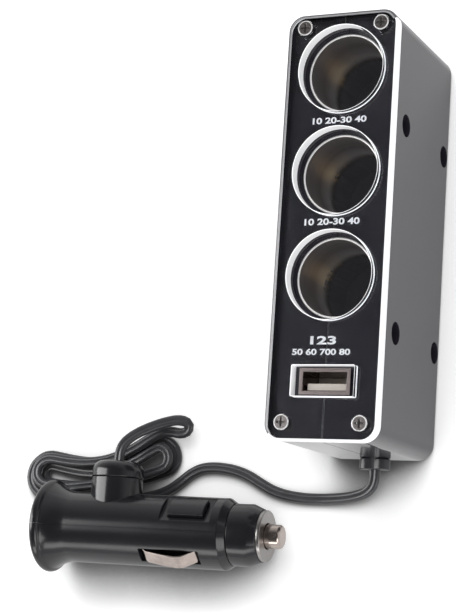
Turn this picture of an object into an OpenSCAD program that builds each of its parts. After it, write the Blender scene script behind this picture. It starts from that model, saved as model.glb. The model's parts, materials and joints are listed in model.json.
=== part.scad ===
// Three-way vehicle power socket splitter with a charging port, a corded plug and its folded lead.
// The case lies on its rear face: X across, Y along its length, Z out of the sockets.

/* [Case] */
// Width across the two side faces
case_w = 32; // [31:0.5:40]
// Length from end face to end face
case_l = 118; // [116:1:140]
// Depth from the rear face to the back of the clear plate
case_d = 44.9; // [44:0.5:60]
// Radius of the four long edges
case_corner_r = 4.6; // [3.5:0.1:6]
// Radius of the rounded rear edges
case_rear_r = 1.5; // [0.8:0.1:1.8]
// Wall of the two half shells
wall = 2; // [1.6:0.1:2.2]
// Thickness of the front wall under the clear plate
front_wall_t = 3.5; // [3:0.1:4.5]
// Gap that shows as the parting line between the half shells
seam_gap = 0.12; // [0.06:0.02:0.3]

/* [Clear plate] */
// Thickness of the clear front plate
plate_t = 3.4; // [2.5:0.1:5]
// How much wider the plate's round holes are than the sleeves under them
plate_hole_margin = 1; // [0.8:0.1:1.8]
// Width of the port's cut-out in the plate
cutout_w = 17.8; // [16:0.2:20]
// Height of the port's cut-out in the plate
cutout_h = 8.2; // [7.8:0.2:10]

/* [Sockets] */
// Room between the top end face and the first socket's cup
socket_end_room = 3.6; // [3:0.1:6]
// Length kept at the low end for the port and its circuit board
port_zone_l = 32.6; // [32:0.1:40]
// Room between a socket's cup and the case's side wall
cup_side_room = 1.8; // [1.6:0.1:2.4]
// Room between a socket's cup and a post between two sockets
cup_post_room = 0.25; // [0.2:0.05:1]
// Metal thickness of a socket sleeve
sleeve_wall = 0.6; // [0.4:0.05:0.8]
// Length of a socket sleeve
sleeve_l = 18; // [14:0.5:24]
// How far a sleeve's rim lies below the front wall's face
rim_depth = 1.9; // [1.2:0.1:2.6]
// How much wider the mouth over a sleeve's rim is than the sleeve
mouth_margin = 0.7; // [0.6:0.1:0.9]
// Wall of the plastic cup under a sleeve
cup_wall = 0.9; // [0.7:0.1:1]
// Thickness of a cup's floor
cup_floor_t = 2; // [1.5:0.1:3]
// How far a centre contact gives under a plug's tip
contact_travel = 1.5; // [0.5:0.1:1.8]
// Radius of a centre contact's head
contact_head_r = 4; // [3:0.1:5]

/* [Port] */
// Distance from the port's axis to the end of that length
port_room = 16.5; // [16:0.1:20]
// Outer width of the port's metal shell
port_w = 13.1; // [12.8:0.1:13.4]
// Outer height of the port's metal shell
port_h = 5.7; // [5.5:0.1:6]
// Depth of the port's metal shell
port_l = 14; // [12:0.5:18]
// Width of the tongue in the port
tongue_w = 11.1; // [10.8:0.1:11.4]
// Thickness of the circuit board
board_t = 1.6; // [1:0.1:2]
// Room between the circuit board's edge and the case's side wall
board_side_room = 2; // [1.5:0.1:3]

/* [Screws] */
// Radius of a plate screw's head
plate_head_r = 2; // [1.6:0.1:2.2]
// Radius of every screw's shank
shank_r = 1.1; // [0.9:0.05:1.3]
// Radius of the wells for the screws that hold the half shells together
well_r = 3.1; // [2.8:0.1:3.4]
// Depth of those wells from the right side face
well_depth = 7; // [6:0.2:7.4]

/* [Plug] */
// Radius of the plug's barrel
barrel_r = 10.45; // [10.3:0.05:10.55]
// Length of the barrel from the flange's middle to its front shoulder
barrel_l = 57; // [54:0.5:62]
// Radius of the grip flange
flange_r = 13.8; // [13:0.1:15]
// Radius of the nose cap
nose_r = 9; // [8.7:0.1:9.4]
// Radius of the tip contact
tip_r = 3.5; // [3:0.1:4]
// How far the tip stands out of the nose cap's end ring
tip_out = 4.6; // [4:0.1:7]
// How far the tip gives on its spring
tip_travel = 3; // [1:0.1:3.4]
// Width of a side contact
leaf_w = 4.4; // [3.5:0.1:5]
// How far a side contact's crown stands out of the barrel
leaf_out = 1.85; // [1.4:0.05:2.2]
// Radius of the side neck that the cord comes out of
neck_r = 7.6; // [7:0.1:7.8]
// Distance from the plug's axis to the neck's end face
neck_l = 20; // [18:0.5:22]

/* [Cord] */
// Width of the flat twin cord
cord_w = 3.2; // [3:0.1:3.4]
// Thickness of the flat twin cord
cord_t = 2; // [1.8:0.1:2.1]

/* [Hidden] */
$fn = 64;

// Shared clearances and overruns
cut = 1;
seat_gap = 0.2;
slide_gap = 0.08;
snug = 0.1;

// Levels and places of the case
half_w = case_w / 2;
half_l = case_l / 2;
front_z = case_d;
top_z = case_d + plate_t;
inner_w = half_w - wall;
inner_l = half_l - wall;
ceiling_z = front_z - front_wall_t;
post_r = 1.9;
sockets_l = case_l - socket_end_room - port_zone_l;
cup_r = min(inner_w - cup_side_room, (sockets_l - 4 * (post_r + cup_post_room)) / 6);
socket_pitch = (sockets_l - 2 * cup_r) / 2;
sleeve_r = cup_r - cup_wall - snug;
sleeve_bore_r = sleeve_r - sleeve_wall;
mouth_r = sleeve_r + mouth_margin;
plate_hole_r = sleeve_r + plate_hole_margin;
sleeve_top_z = front_z - rim_depth;
sleeve_low_z = sleeve_top_z - sleeve_l;
function socket_y(i) = half_l - socket_end_room - cup_r - i * socket_pitch;
port_y = -half_l + port_zone_l - port_room;

// Cups, centre contacts and their springs
bus_t = 0.5;
contact_flange_t = 0.7;
contact_flange_r = 2.2;
contact_head_t = 1.5;
contact_stem_r = 1.5;
contact_room = bus_t + contact_travel + contact_flange_t + snug + seat_gap;
cup_low_z = wall + contact_room + 3 * seat_gap;
cup_grip = 2.5;
cup_step = 0.3;
cup_bore_r = sleeve_bore_r + cup_step;
cup_top_z = sleeve_low_z + cup_grip;
cup_floor_z = cup_low_z + cup_floor_t;
spring_room = 3.4;
contact_z = cup_floor_z + spring_room;
spring_wire = 0.5;
spring_r = 2.4;
spring_turns = 3;

// Screw posts, wells and ribs
plate_screw_side = 4.9;
plate_screw_top = 3.7;
plate_screw_low = 4.9;
plate_screw_x = half_w - plate_screw_side;
plate_screw_y = [half_l - plate_screw_top, -half_l + plate_screw_low];
plate_head_t = 1.4;
head_clearance = 0.15;
plate_post_r = 3;
plate_post_l = 8;
screw_l = 8;
slot_t = 0.5;
slot_depth = 0.7;
boss_r = well_r + 1.2 * shank_r;
boss_floor_t = 1.6;
well_head_r = 2.4;
well_head_t = 1.6;
well_front = 7.4;
well_rear = 4.6;
well_z = [front_z - well_front, well_rear];
well_y = [socket_y(0) - socket_pitch / 2, socket_y(2) - cup_r - cup_post_room - post_r];
well_floor_x = half_w - well_depth;
rib_t = 1.6;
rib_x = 3;
cup_rib_z = cup_floor_z + spring_room + rib_t;
sleeve_rib_z = ceiling_z - 5 * rib_t;
shaft_gap = 0.05;
through_gap = 0.15;

// Bus strips and the wires inside the case
bus_w = 6;
negative_bus_w = 3.5;
negative_bus_z = cup_top_z + seat_gap;
bus_low_y = well_y[1] - boss_r - wall;
bus_high_y = socket_y(0) + contact_head_r;
wire_r = 0.7;

// Port, tongue and circuit board
port_sheet = 0.3;
port_lip = 0.75;
port_lip_t = 0.4;
port_out = 1.7;
port_front_z = front_z + port_out;
port_low_z = port_front_z - port_l;
tongue_t = 1.9;
tongue_offset = 1.3;
tongue_depth = 1.9;
tongue_base_l = 2.5;
tongue_y = port_y - tongue_offset;
strip_w = 1;
strip_t = 0.2;
strip_l = 7;
strip_x_shares = [-0.315, -0.09, 0.09, 0.315];
board_y = port_y + port_h / 2 + snug;
board_back_y = board_y + board_t;
board_w = 2 * (inner_w - board_side_room);
board_low_z = wall + 3 * board_t + seat_gap;
board_high_z = ceiling_z - seat_gap;
guide_t = 1.2;
guide_l = inner_w - board_w / 2 + guide_t;
inductor_room = 1.6;
inductor_r = board_w / 4 - inductor_room;
board_parts_l = port_room - port_h / 2 - snug - board_t - cup_post_room - 2 * post_r;
inductor_end_room = 1.3;
inductor_h = board_parts_l - inductor_end_room;
inductor_groove = 0.9;
inductor_flange_t = 1.4;
capacitor_r = 3.1;
capacitor_end_room = 0.9;
capacitor_h = board_parts_l - capacitor_end_room;
chip_w = 5;
chip_h = 4;
chip_t = 1.5;

// Grommet in the low end face
grommet_z = 5;
grommet_lobe_r = 2.3;
grommet_spread = 2.2;
grommet_out = 3.2;
grommet_neck_w = 6.4;
grommet_neck_h = 3.4;
grommet_flange_w = 8.6;
grommet_flange_h = 4.6;
grommet_flange_t = 1.2;

// Plug: lengths along its axis from the middle of the flange
plug_x = -98.5;
plug_y = -82.6;
plug_tilt = atan((flange_r - barrel_r) / barrel_l);
plug_lift = 0.02;
rim_r = 1.5;
dome_h = 1.5;
flare_l = 8.4;
flare_rise = 2.35;
shoulder_l = 2.1;
shoulder_r = nose_r + snug / 2;
spigot_r = 7;
spigot_l = 4.4;
cap_start = barrel_l + shoulder_l + snug;
cap_barrel_l = 5.4;
cap_taper_l = 3.2;
cap_face_r = 7.6;
cap_wall_t = 1.6;
cap_end = cap_start + cap_barrel_l + cap_taper_l;
ring_t = 1.2;
ring_r = 7.4;
tip_end = cap_end + ring_t + tip_out;
tip_flange_r = 4.5;
tip_flange_t = 1.5;
tip_round = 1.1;
tip_seat = cap_end - cap_wall_t - seat_gap;
chamber_r = 4.9;
chamber_start = 26;
partition_t = 1.5;
hollow_r = 7.6;
hollow_start = 4;
fuse_r = 3.15;
fuse_l = 30;
fuse_cap_l = 6;
fuse_glass_r = 2.9;
fuse_glass_wall = 0.5;
fuse_end = tip_seat - tip_flange_t - snug;
fuse_start = fuse_end - fuse_l;
terminal_t = 0.8;
terminal_r = chamber_r - seat_gap;
plug_spring_r = 3;
plug_spring_wire = 0.7;
plug_spring_turns = 4;

// Side contacts, 48 degrees and 228 degrees round from the top
leaf_clock = 48;
leaf_t = 0.5;
leaf_l = 16.9;
leaf_end_room = 6.9;
leaf_start = barrel_l - leaf_end_room - leaf_l;
leaf_foot_r = 6.1;
leaf_slot_floor_r = 5.7;
leaf_slot_side = 0.3;
leaf_slot_end = 0.9;
leaf_crown_r = barrel_r + leaf_out;
leaf_l_shares = [0, 0.03, 0.1, 0.4, 0.64, 0.76, 0.97, 1];
leaf_rise_shares = [0, 0.58, 0.72, 0.89, 1, 0.96, 0.56, 0.42];

// Grip pads, a quarter turn from the side contacts
pocket_l = 15.7;
pocket_end_room = 2.5;
pad_start = barrel_l - pocket_end_room - pocket_l;
pocket_w = 9.6;
pocket_floor_r = 9.1;
window_l = 11.4;
window_w = 6.6;
window_floor_r = 6.7;
pad_gap = 0.15;
pad_bottom_r = 7.8;
pad_out = 0.45;

// Neck and its cap
neck_at = 20.2;
neck_seam = 14.9;
neck_bore_r = 5.2;
neck_cap_r = neck_r + snug;
neck_spigot_l = 3.4;
neck_cap_round = 3.2;

// Cord: the lead's and the tail's points are places on the floor
cord_gap = 0.45;
cord_floor = cord_t / 2 + snug;
layer_step = cord_t + cord_gap + 0.05 * cord_t;
loop_step = cord_w + cord_gap;
hank_place = [-88, -66];
hank_turn = 9;
hank_bend_r = 62;
hank_run = 19.5;
hank_half_w = 6;
hank_waist = 1.2;
hank_widen_share = 0.12;
hank_loops = 2.25;
hank_start_share = 0.5;
rings_per_loop = 24;
lead_drawn_half_l = 59;
lead_free_points = 14;
lead_points = [
    [0, -64.6, 4.9], [-0.7, -66.8, 4.4], [-2.6, -68.5, 3.7], [-5.4, -69.5, 3], [-9, -70.2, 2.2],
    [-13.4, -70.6, 1.5], [-18, -70.8, 1.1], [-23, -70.7, 1.1], [-28, -70.1, 1.1], [-32.5, -68.9, 1.1],
    [-36.5, -67, 1.1], [-40.5, -64.9, 1.1], [-44.5, -63.5, 1.1], [-48.5, -62.8, 1.1],
    [-52.5, -62.6, 1.1], [-56.3, -63.1, 1.1], [-59.7, -64.7, 1.1], [-62.7, -67, 1.1],
    [-66, -69.3, 1.1], [-70, -71.1, 1.1], [-74.4, -72.2, 1.1], [-79.3, -73, 1.1],
    [-84.2, -73.4, 1.1], [-89.1, -73.7, 1.1], [-94, -73.9, 1.1], [-98.9, -73.9, 1.1],
    [-103.8, -73.8, 1.1], [-108.5, -73.3, 1.1], [-111.7, -72.2, 1.1], [-113.9, -70.3, 1.1],
    [-115, -67.9, 1.1], [-115, -65.5, 1.1], [-114.1, -63.4, 1.1], [-112.5, -61.8, 1.1],
    [-110.6, -60.7, 1.1], [-108.5, -60.4, 1.1]
];
tail_points = [
    [-69.3, -52.7, 3.6], [-66.1, -52.4, 3.5], [-63.3, -52.8, 3.4], [-61.2, -52.3, 3.3],
    [-60.2, -50.8, 3.8], [-61.1, -49.4, 4.5], [-63.9, -49.1, 5.2], [-67.5, -50.1, 6.5],
    [-71.1, -51.8, 8.3], [-74.5, -54, 10.2], [-77, -56.6, 11.9], [-78.2, -59.4, 12.5]
];
wire_spread = 1.2;
wire_rise = 0.4;
tube_sides = 8;
wire_sides = 6;
spring_rings = 8;

// Shared shapes

module rounded_outline(w, l, r) {
    square([w - 2 * r, l], center = true);
    square([w, l - 2 * r], center = true);
    for (sx = [-1, 1], sy = [-1, 1])
        translate([sx * (w / 2 - r), sy * (l / 2 - r)])
            circle(r);
}

// Block with round long edges and a round edge at its low face
module case_block(w, l, h, r, e) {
    translate([0, 0, e])
        linear_extrude(h - e)
            rounded_outline(w, l, r);
    linear_extrude(2 * e)
        rounded_outline(w - 2 * e, l - 2 * e, r - e);
    for (s = [-1, 1]) {
        translate([s * (w / 2 - e), 0, e])
            rotate([90, 0, 0])
                cylinder(h = l - 2 * r, r = e, center = true);
        translate([0, s * (l / 2 - e), e])
            rotate([0, 90, 0])
                cylinder(h = w - 2 * r, r = e, center = true);
    }
    for (sx = [-1, 1], sy = [-1, 1])
        translate([sx * (w / 2 - r), sy * (l / 2 - r), e])
            rotate_extrude()
                intersection() {
                    union() {
                        translate([r - e, 0])
                            circle(e);
                        translate([0, -e])
                            square([r - e, 2 * e]);
                    }
                    translate([0, -e])
                        square([r, 2 * e]);
                }
}

module block_at(low, high) {
    translate(low)
        cube(high - low);
}

module along_y(length, radius) {
    rotate([-90, 0, 0])
        cylinder(h = length, r = radius);
}

module along_x(length, radius) {
    rotate([0, 90, 0])
        cylinder(h = length, r = radius);
}

function unit(v) = v / norm(v);
function route_direction(p, i) =
    i == 0 ? unit(p[1] - p[0])
    : i == len(p) - 1 ? unit(p[i] - p[i - 1])
    : unit(unit(p[i + 1] - p[i]) + unit(p[i] - p[i - 1]));

// Ring of a swept section: its width lies level, its thickness stands square to the route
function section_ring(at, along, w, t, sides) =
    let(across = unit(cross([0, 0, 1], along)))
    let(up = cross(along, across))
    [for (k = [0 : sides - 1])
        let(a = 360 * (k + 0.5) / sides)
        at + across * (cos(a) * w / 2) + up * (sin(a) * t / 2)];
function swept_rings(p, w, t, sides, first, last) =
    [for (i = [0 : len(p) - 1])
        let(along = i == 0 && first != [] ? first : i == len(p) - 1 && last != [] ? last : route_direction(p, i))
        section_ring(p[i], along, w, t, sides)];

module skin(rings, sides) {
    n = len(rings);
    points = [for (ring = rings, q = ring) q];
    walls = [for (i = [0 : n - 2], k = [0 : sides - 1])
        let(a = i * sides + k, b = i * sides + (k + 1) % sides)
        each [[a, a + sides, b + sides], [a, b + sides, b]]];
    first_cap = [for (k = [1 : sides - 2]) [0, k, k + 1]];
    base = (n - 1) * sides;
    last_cap = [for (k = [1 : sides - 2]) [base, base + k + 1, base + k]];
    polyhedron(points = points, faces = concat(walls, first_cap, last_cap));
}

module tube(p, w, t, sides, first = [], last = []) {
    skin(swept_rings(p, w, t, sides, first, last), sides);
}

// Coil spring along Z from its low end to its high end
function coil_point(r, turns, low, high, i, n) =
    let(a = 360 * turns * i / n)
    [r * cos(a), r * sin(a), low + (high - low) * i / n];
module coil(r, wire, turns, low, high) {
    n = turns * spring_rings;
    p = [for (i = [0 : n]) coil_point(r, turns, low + wire / 2, high - wire / 2, i, n)];
    skin([for (i = [0 : n])
        let(a = 360 * turns * i / n)
        [for (k = [0 : wire_sides - 1])
            let(q = 360 * k / wire_sides)
            p[i] + [cos(a) * cos(q), sin(a) * cos(q), -sin(q)] * wire / 2]], wire_sides);
}

// Strip of even thickness along a line of points
function strip_side(p, t, side) =
    [for (i = [0 : len(p) - 1])
        let(a = p[max(i - 1, 0)], b = p[min(i + 1, len(p) - 1)])
        let(d = unit(b - a))
        p[i] + side * t / 2 * [-d[1], d[0]]];
function reversed(p) = [for (i = [len(p) - 1 : -1 : 0]) p[i]];
module strip_outline(p, t) {
    polygon(concat(strip_side(p, t, 1), reversed(strip_side(p, t, -1))));
}

// Case

module case_hollow() {
    translate([0, 0, wall])
        linear_extrude(ceiling_z - wall)
            rounded_outline(2 * inner_w, 2 * inner_l, case_corner_r - wall);
}

module front_openings() {
    for (i = [0 : 2]) {
        translate([0, socket_y(i), ceiling_z - cut])
            cylinder(h = front_wall_t + 2 * cut, r = sleeve_r + snug);
        translate([0, socket_y(i), sleeve_top_z])
            cylinder(h = rim_depth + cut, r = mouth_r);
    }
    block_at([-port_w / 2 - seat_gap, port_y - port_h / 2 - seat_gap, ceiling_z - cut],
        [port_w / 2 + seat_gap, port_y + port_h / 2 + seat_gap, front_z + cut]);
}

module cord_opening() {
    translate([0, -half_l, grommet_z])
        cube([grommet_neck_w + 2 * snug, 2 * wall + cut, grommet_neck_h + 2 * snug], center = true);
}

module saddle_rib(z, r) {
    translate([0, 0, z])
        linear_extrude(rib_t)
            difference() {
                translate([rib_x, well_y[1] - post_r])
                    square([inner_w - rib_x + cut, inner_l - well_y[1] + post_r + cut]);
                for (i = [0 : 2])
                    translate([0, socket_y(i)])
                        circle(r + seat_gap);
            }
}

module board_guides() {
    for (y = [board_y - seat_gap - guide_t, board_back_y + seat_gap])
        block_at([inner_w - guide_l, y, wall - cut], [inner_w + cut, y + guide_t, ceiling_z + cut]);
}

// What both half shells share, drawn on the right half
module half_fittings() {
    saddle_rib(cup_rib_z, cup_r);
    saddle_rib(sleeve_rib_z, sleeve_r);
    board_guides();
    for (y = plate_screw_y)
        translate([plate_screw_x, y, ceiling_z - plate_post_l])
            cylinder(h = plate_post_l + cut, r = plate_post_r);
}

module plate_pilots() {
    for (y = plate_screw_y)
        translate([plate_screw_x, y, top_z - plate_head_t - screw_l - seat_gap])
            cylinder(h = screw_l + plate_t, r = shank_r + shaft_gap);
}

module half_shell_blank() {
    intersection() {
        difference() {
            case_block(case_w, case_l, case_d, case_corner_r, case_rear_r);
            case_hollow();
            front_openings();
            cord_opening();
        }
        block_at([seam_gap / 2, -half_l - cut, -cut], [half_w + cut, half_l + cut, front_z + cut]);
    }
}

module fitted_half() {
    half_shell_blank();
    intersection() {
        half_fittings();
        case_block(case_w, case_l, case_d, case_corner_r, case_rear_r);
    }
}

module right_shell() {
    color("dimgray")
        difference() {
            union() {
                fitted_half();
                for (y = well_y, z = well_z) {
                    translate([well_floor_x - boss_floor_t, y, z])
                        along_x(well_depth + boss_floor_t - wall / 2, boss_r);
                    translate([seam_gap / 2, y, z])
                        along_x(well_floor_x, post_r);
                }
            }
            for (y = well_y, z = well_z) {
                translate([well_floor_x, y, z])
                    along_x(well_depth + cut, well_r);
                translate([-cut, y, z])
                    along_x(half_w, shank_r + through_gap);
            }
            plate_pilots();
            front_openings();
        }
}

module left_shell() {
    color("dimgray")
        difference() {
            union() {
                mirror([1, 0, 0])
                    fitted_half();
                for (y = well_y, z = well_z)
                    translate([-inner_w - wall / 2, y, z])
                        along_x(inner_w + wall / 2 - seam_gap / 2, post_r);
            }
            for (y = well_y, z = well_z)
                translate([-well_floor_x - seat_gap, y, z])
                    along_x(half_w, shank_r + shaft_gap);
            mirror([1, 0, 0])
                plate_pilots();
        }
}

module front_plate() {
    color([0.85, 0.88, 0.9, 0.35])
        difference() {
            translate([0, 0, front_z])
                linear_extrude(plate_t)
                    rounded_outline(case_w, case_l, case_corner_r);
            for (i = [0 : 2])
                translate([0, socket_y(i), front_z - cut])
                    cylinder(h = plate_t + 2 * cut, r = plate_hole_r);
            translate([0, port_y, front_z])
                cube([cutout_w, cutout_h, 2 * (plate_t + cut)], center = true);
            for (s = [-1, 1], y = plate_screw_y) {
                translate([s * plate_screw_x, y, front_z - cut])
                    cylinder(h = plate_t + 2 * cut, r = shank_r + through_gap);
                translate([s * plate_screw_x, y, top_z - plate_head_t])
                    cylinder(h = plate_t, r = plate_head_r + head_clearance);
            }
        }
}

// Screw with a cross recess, its head's top at the origin, pointing down
module screw(head_r, head_t, length) {
    difference() {
        union() {
            translate([0, 0, -head_t])
                cylinder(h = head_t, r = head_r);
            translate([0, 0, -head_t - length])
                cylinder(h = length + head_t / 2, r = shank_r);
        }
        for (a = [0, 90])
            rotate([0, 0, a])
                translate([0, 0, -slot_depth])
                    cube([1.3 * head_r, slot_t, 2 * slot_depth], center = true);
    }
}

module plate_screws() {
    color("silver")
        for (s = [-1, 1], y = plate_screw_y)
            translate([s * plate_screw_x, y, top_z])
                screw(plate_head_r, plate_head_t, screw_l);
}

module shell_screws() {
    color("silver")
        for (y = well_y, z = well_z)
            translate([well_floor_x + well_head_t, y, z])
                rotate([0, 90, 0])
                    screw(well_head_r, well_head_t, 2 * well_floor_x);
}

// Sockets

module socket_sleeve(i) {
    color("rosybrown")
        translate([0, socket_y(i), sleeve_low_z])
            difference() {
                cylinder(h = sleeve_l, r = sleeve_r);
                translate([0, 0, -cut])
                    cylinder(h = sleeve_l + 2 * cut, r = sleeve_bore_r);
            }
}

module socket_cup(i) {
    color("black")
        translate([0, socket_y(i), 0])
            difference() {
                translate([0, 0, cup_low_z])
                    cylinder(h = cup_top_z - cup_low_z, r = cup_r);
                translate([0, 0, cup_floor_z])
                    cylinder(h = case_d, r = cup_bore_r);
                translate([0, 0, sleeve_low_z])
                    cylinder(h = cup_grip + cut, r = sleeve_r + snug);
                translate([0, 0, cup_low_z - cut])
                    cylinder(h = cup_floor_t + 2 * cut, r = contact_stem_r + slide_gap);
            }
}

module centre_contact(i) {
    color("goldenrod")
        translate([0, socket_y(i), 0]) {
            translate([0, 0, contact_z])
                cylinder(h = contact_head_t / 2, r = contact_head_r);
            translate([0, 0, contact_z + contact_head_t / 2])
                cylinder(h = contact_head_t / 2, r1 = contact_head_r, r2 = contact_head_r - contact_head_t / 2);
            translate([0, 0, cup_low_z - snug - contact_flange_t / 2])
                cylinder(h = contact_z - cup_low_z + snug + contact_flange_t, r = contact_stem_r);
            translate([0, 0, cup_low_z - snug - contact_flange_t])
                cylinder(h = contact_flange_t, r = contact_flange_r);
        }
}

module contact_spring(i) {
    color("gray")
        translate([0, socket_y(i), 0])
            coil(spring_r, spring_wire, spring_turns, cup_floor_z + snug, contact_z - snug);
}

module positive_bus() {
    color("goldenrod")
        block_at([-bus_w / 2, bus_low_y, wall], [bus_w / 2, bus_high_y, wall + bus_t]);
}

module negative_bus() {
    color("goldenrod")
        block_at([-sleeve_r - seat_gap - bus_t, socket_y(2) - contact_head_r, negative_bus_z],
            [-sleeve_r - seat_gap, bus_high_y, negative_bus_z + negative_bus_w]);
}

grommet_inner_y = -inner_l + grommet_flange_t;
positive_wire_start = [wire_spread, grommet_inner_y, grommet_z - wire_rise];
negative_wire_start = [-wire_spread, grommet_inner_y, grommet_z + wire_rise];
negative_wire_end = [-sleeve_r - seat_gap - bus_t / 2, socket_y(2) - contact_head_r - 2 * seat_gap,
    negative_bus_z + negative_bus_w / 2];
positive_wire_end = [0, bus_low_y - seat_gap, wall + bus_t + wire_r];

// Places along a wire, as shares of the way from its start to its end
function between(a, b, share) = a + (b - a) * share;
positive_wire_points = [
    [wire_spread, between(positive_wire_start[1], positive_wire_end[1], 0.28), grommet_z - wire_rise],
    [wire_spread, between(positive_wire_start[1], positive_wire_end[1], 0.5),
        between(positive_wire_start[2], positive_wire_end[2], 0.45)],
    [wire_spread / 2, between(positive_wire_start[1], positive_wire_end[1], 0.82),
        between(positive_wire_start[2], positive_wire_end[2], 0.9)]
];
wire_pass_x = board_w / 2 - guide_t - wire_r - seat_gap;
wire_low_z = grommet_z + wire_rise;
wire_turn_y = board_back_y + guide_t + 2 * wire_r;
wire_climb_y = well_y[1] - post_r - 3 * wire_r;
negative_wire_points = [
    [-wire_spread, between(grommet_inner_y, board_y, 0.35), wire_low_z],
    [between(-wire_spread, -wire_pass_x, 0.5), between(grommet_inner_y, board_y, 0.7), wire_low_z],
    [-wire_pass_x, board_y, wire_low_z],
    [-wire_pass_x, wire_turn_y, wire_low_z + wire_rise],
    [between(-wire_pass_x, negative_wire_end[0], 0.7), between(wire_turn_y, wire_climb_y, 0.6),
        between(wire_low_z, negative_wire_end[2], 0.18)],
    [negative_wire_end[0], wire_climb_y, between(wire_low_z, negative_wire_end[2], 0.4)],
    [negative_wire_end[0], wire_climb_y + 2 * wire_r, between(wire_low_z, negative_wire_end[2], 0.65)]
];

module positive_wire() {
    color("firebrick")
        tube(concat([positive_wire_start], positive_wire_points, [positive_wire_end]),
            2 * wire_r, 2 * wire_r, wire_sides, [0, 1, 0]);
}

module negative_wire() {
    color("black")
        tube(concat([negative_wire_start], negative_wire_points, [negative_wire_end]),
            2 * wire_r, 2 * wire_r, wire_sides, [0, 1, 0]);
}

// Port and circuit board

module port_shell() {
    color("silver")
        difference() {
            union() {
                block_at([-port_w / 2, port_y - port_h / 2, port_low_z],
                    [port_w / 2, port_y + port_h / 2, port_front_z]);
                block_at([-port_w / 2 - port_lip, port_y - port_h / 2 - port_lip, port_front_z - port_lip_t],
                    [port_w / 2 + port_lip, port_y + port_h / 2 + port_lip, port_front_z]);
            }
            block_at([-port_w / 2 + port_sheet, port_y - port_h / 2 + port_sheet, port_low_z + port_sheet],
                [port_w / 2 - port_sheet, port_y + port_h / 2 - port_sheet, port_front_z + cut]);
        }
}

module port_tongue() {
    inner_half_w = port_w / 2 - port_sheet - snug / 2;
    inner_half_h = port_h / 2 - port_sheet - snug / 2;
    base_z = port_low_z + port_sheet;
    color("white") {
        block_at([-inner_half_w, port_y - inner_half_h, base_z],
            [inner_half_w, port_y + inner_half_h, base_z + tongue_base_l]);
        block_at([-tongue_w / 2, tongue_y - tongue_t / 2, base_z + tongue_base_l / 2],
            [tongue_w / 2, tongue_y + tongue_t / 2, port_front_z - tongue_depth]);
    }
}

module port_contacts() {
    color("gold")
        for (share = strip_x_shares)
            translate([share * tongue_w - strip_w / 2, tongue_y + tongue_t / 2,
                port_front_z - tongue_depth - strip_l - strip_w])
                cube([strip_w, strip_t, strip_l]);
}

module circuit_board() {
    color("darkgreen")
        block_at([-board_w / 2, board_y, board_low_z], [board_w / 2, board_back_y, board_high_z]);
}

inductor_x = board_w / 4;
inductor_z = board_low_z + inductor_r + board_t;
capacitor_x = -min(board_w / 4, -negative_wire_end[0] - wire_r - seat_gap - capacitor_r);
chip_z = board_low_z + 3 * inductor_r;

module board_inductor() {
    color("dimgray")
        translate([inductor_x, board_back_y, inductor_z]) {
            along_y(inductor_h, inductor_r - inductor_groove);
            along_y(inductor_flange_t, inductor_r);
            translate([0, inductor_h - inductor_flange_t, 0])
                along_y(inductor_flange_t, inductor_r);
        }
}

module board_capacitor() {
    color("midnightblue")
        translate([capacitor_x, board_back_y, inductor_z])
            along_y(capacitor_h, capacitor_r);
}

module board_chip() {
    color("black")
        block_at([-chip_w / 2, board_back_y, chip_z], [chip_w / 2, board_back_y + chip_t, chip_z + chip_h]);
}

module cord_grommet() {
    color("black") {
        translate([0, -half_l - grommet_out, grommet_z])
            for (s = [-1, 1])
                translate([s * grommet_spread, 0, 0])
                    along_y(grommet_out - snug, grommet_lobe_r);
        translate([0, -half_l - grommet_out, grommet_z])
            translate([-grommet_spread, 0, -grommet_neck_h / 2])
                cube([2 * grommet_spread, grommet_out - snug, grommet_neck_h]);
        translate([-grommet_neck_w / 2, -half_l - grommet_out / 2, grommet_z - grommet_neck_h / 2])
            cube([grommet_neck_w, grommet_out / 2 + wall + grommet_flange_t, grommet_neck_h]);
        translate([-grommet_flange_w / 2, -inner_l + snug / 2, grommet_z - grommet_flange_h / 2])
            cube([grommet_flange_w, grommet_flange_t - snug / 2, grommet_flange_h]);
    }
}

// Cord: a hank of loops that spiral in on the floor and out again one layer up.
// A loop's first quarter is its low run, then the far bend, the high run and the near bend.

function eased(x) = let(s = min(max(x, 0), 1)) s * s * (3 - 2 * s);
function hank_inset(t) = loop_step * min(t, hank_loops - t);
function hank_z(t) = cord_floor + layer_step * eased((t - hank_loops / 2) * 4 + 0.5);
function hank_flat(t) =
    let(u = (t + hank_start_share) % 1)
    let(r = hank_half_w - hank_inset(t))
    let(s = (u % 0.5) * 4)
    let(sign = u < 0.5 ? -1 : 1)
    s <= 1
        ? let(x = hank_run * (1 - 2 * s))
          let(draw = hank_waist * pow(1 - pow(x / hank_run, 2), 2))
          [-sign * x, sign * (r - draw)]
        : let(a = 180 * (s - 1))
          [sign * (hank_run + r * sin(a)), sign * r * cos(a)];
function hank_bent(q) =
    let(y = q[1] * (1 + hank_widen_share * q[0] / (hank_run + hank_half_w)))
    let(a = q[0] / hank_bend_r * 180 / PI)
    [(hank_bend_r - y) * sin(a), hank_bend_r - (hank_bend_r - y) * cos(a)];
function hank_point(t) =
    let(q = hank_bent(hank_flat(t)))
    [hank_place[0] + q[0] * cos(hank_turn) - q[1] * sin(hank_turn),
     hank_place[1] + q[0] * sin(hank_turn) + q[1] * cos(hank_turn),
     hank_z(t)];
hank_steps = hank_loops * rings_per_loop;
hank_route = [for (i = [0 : hank_steps]) hank_point(i / rings_per_loop)];
hank_first = unit(hank_route[1] - hank_route[0]);
hank_last = unit(hank_route[hank_steps] - hank_route[hank_steps - 1]);
hank_rings = swept_rings(hank_route, cord_w, cord_t, wire_sides, hank_first, hank_last);
function rings_apart(a, b) = min([for (p = a, q = b) norm(p - q)]);
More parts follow.
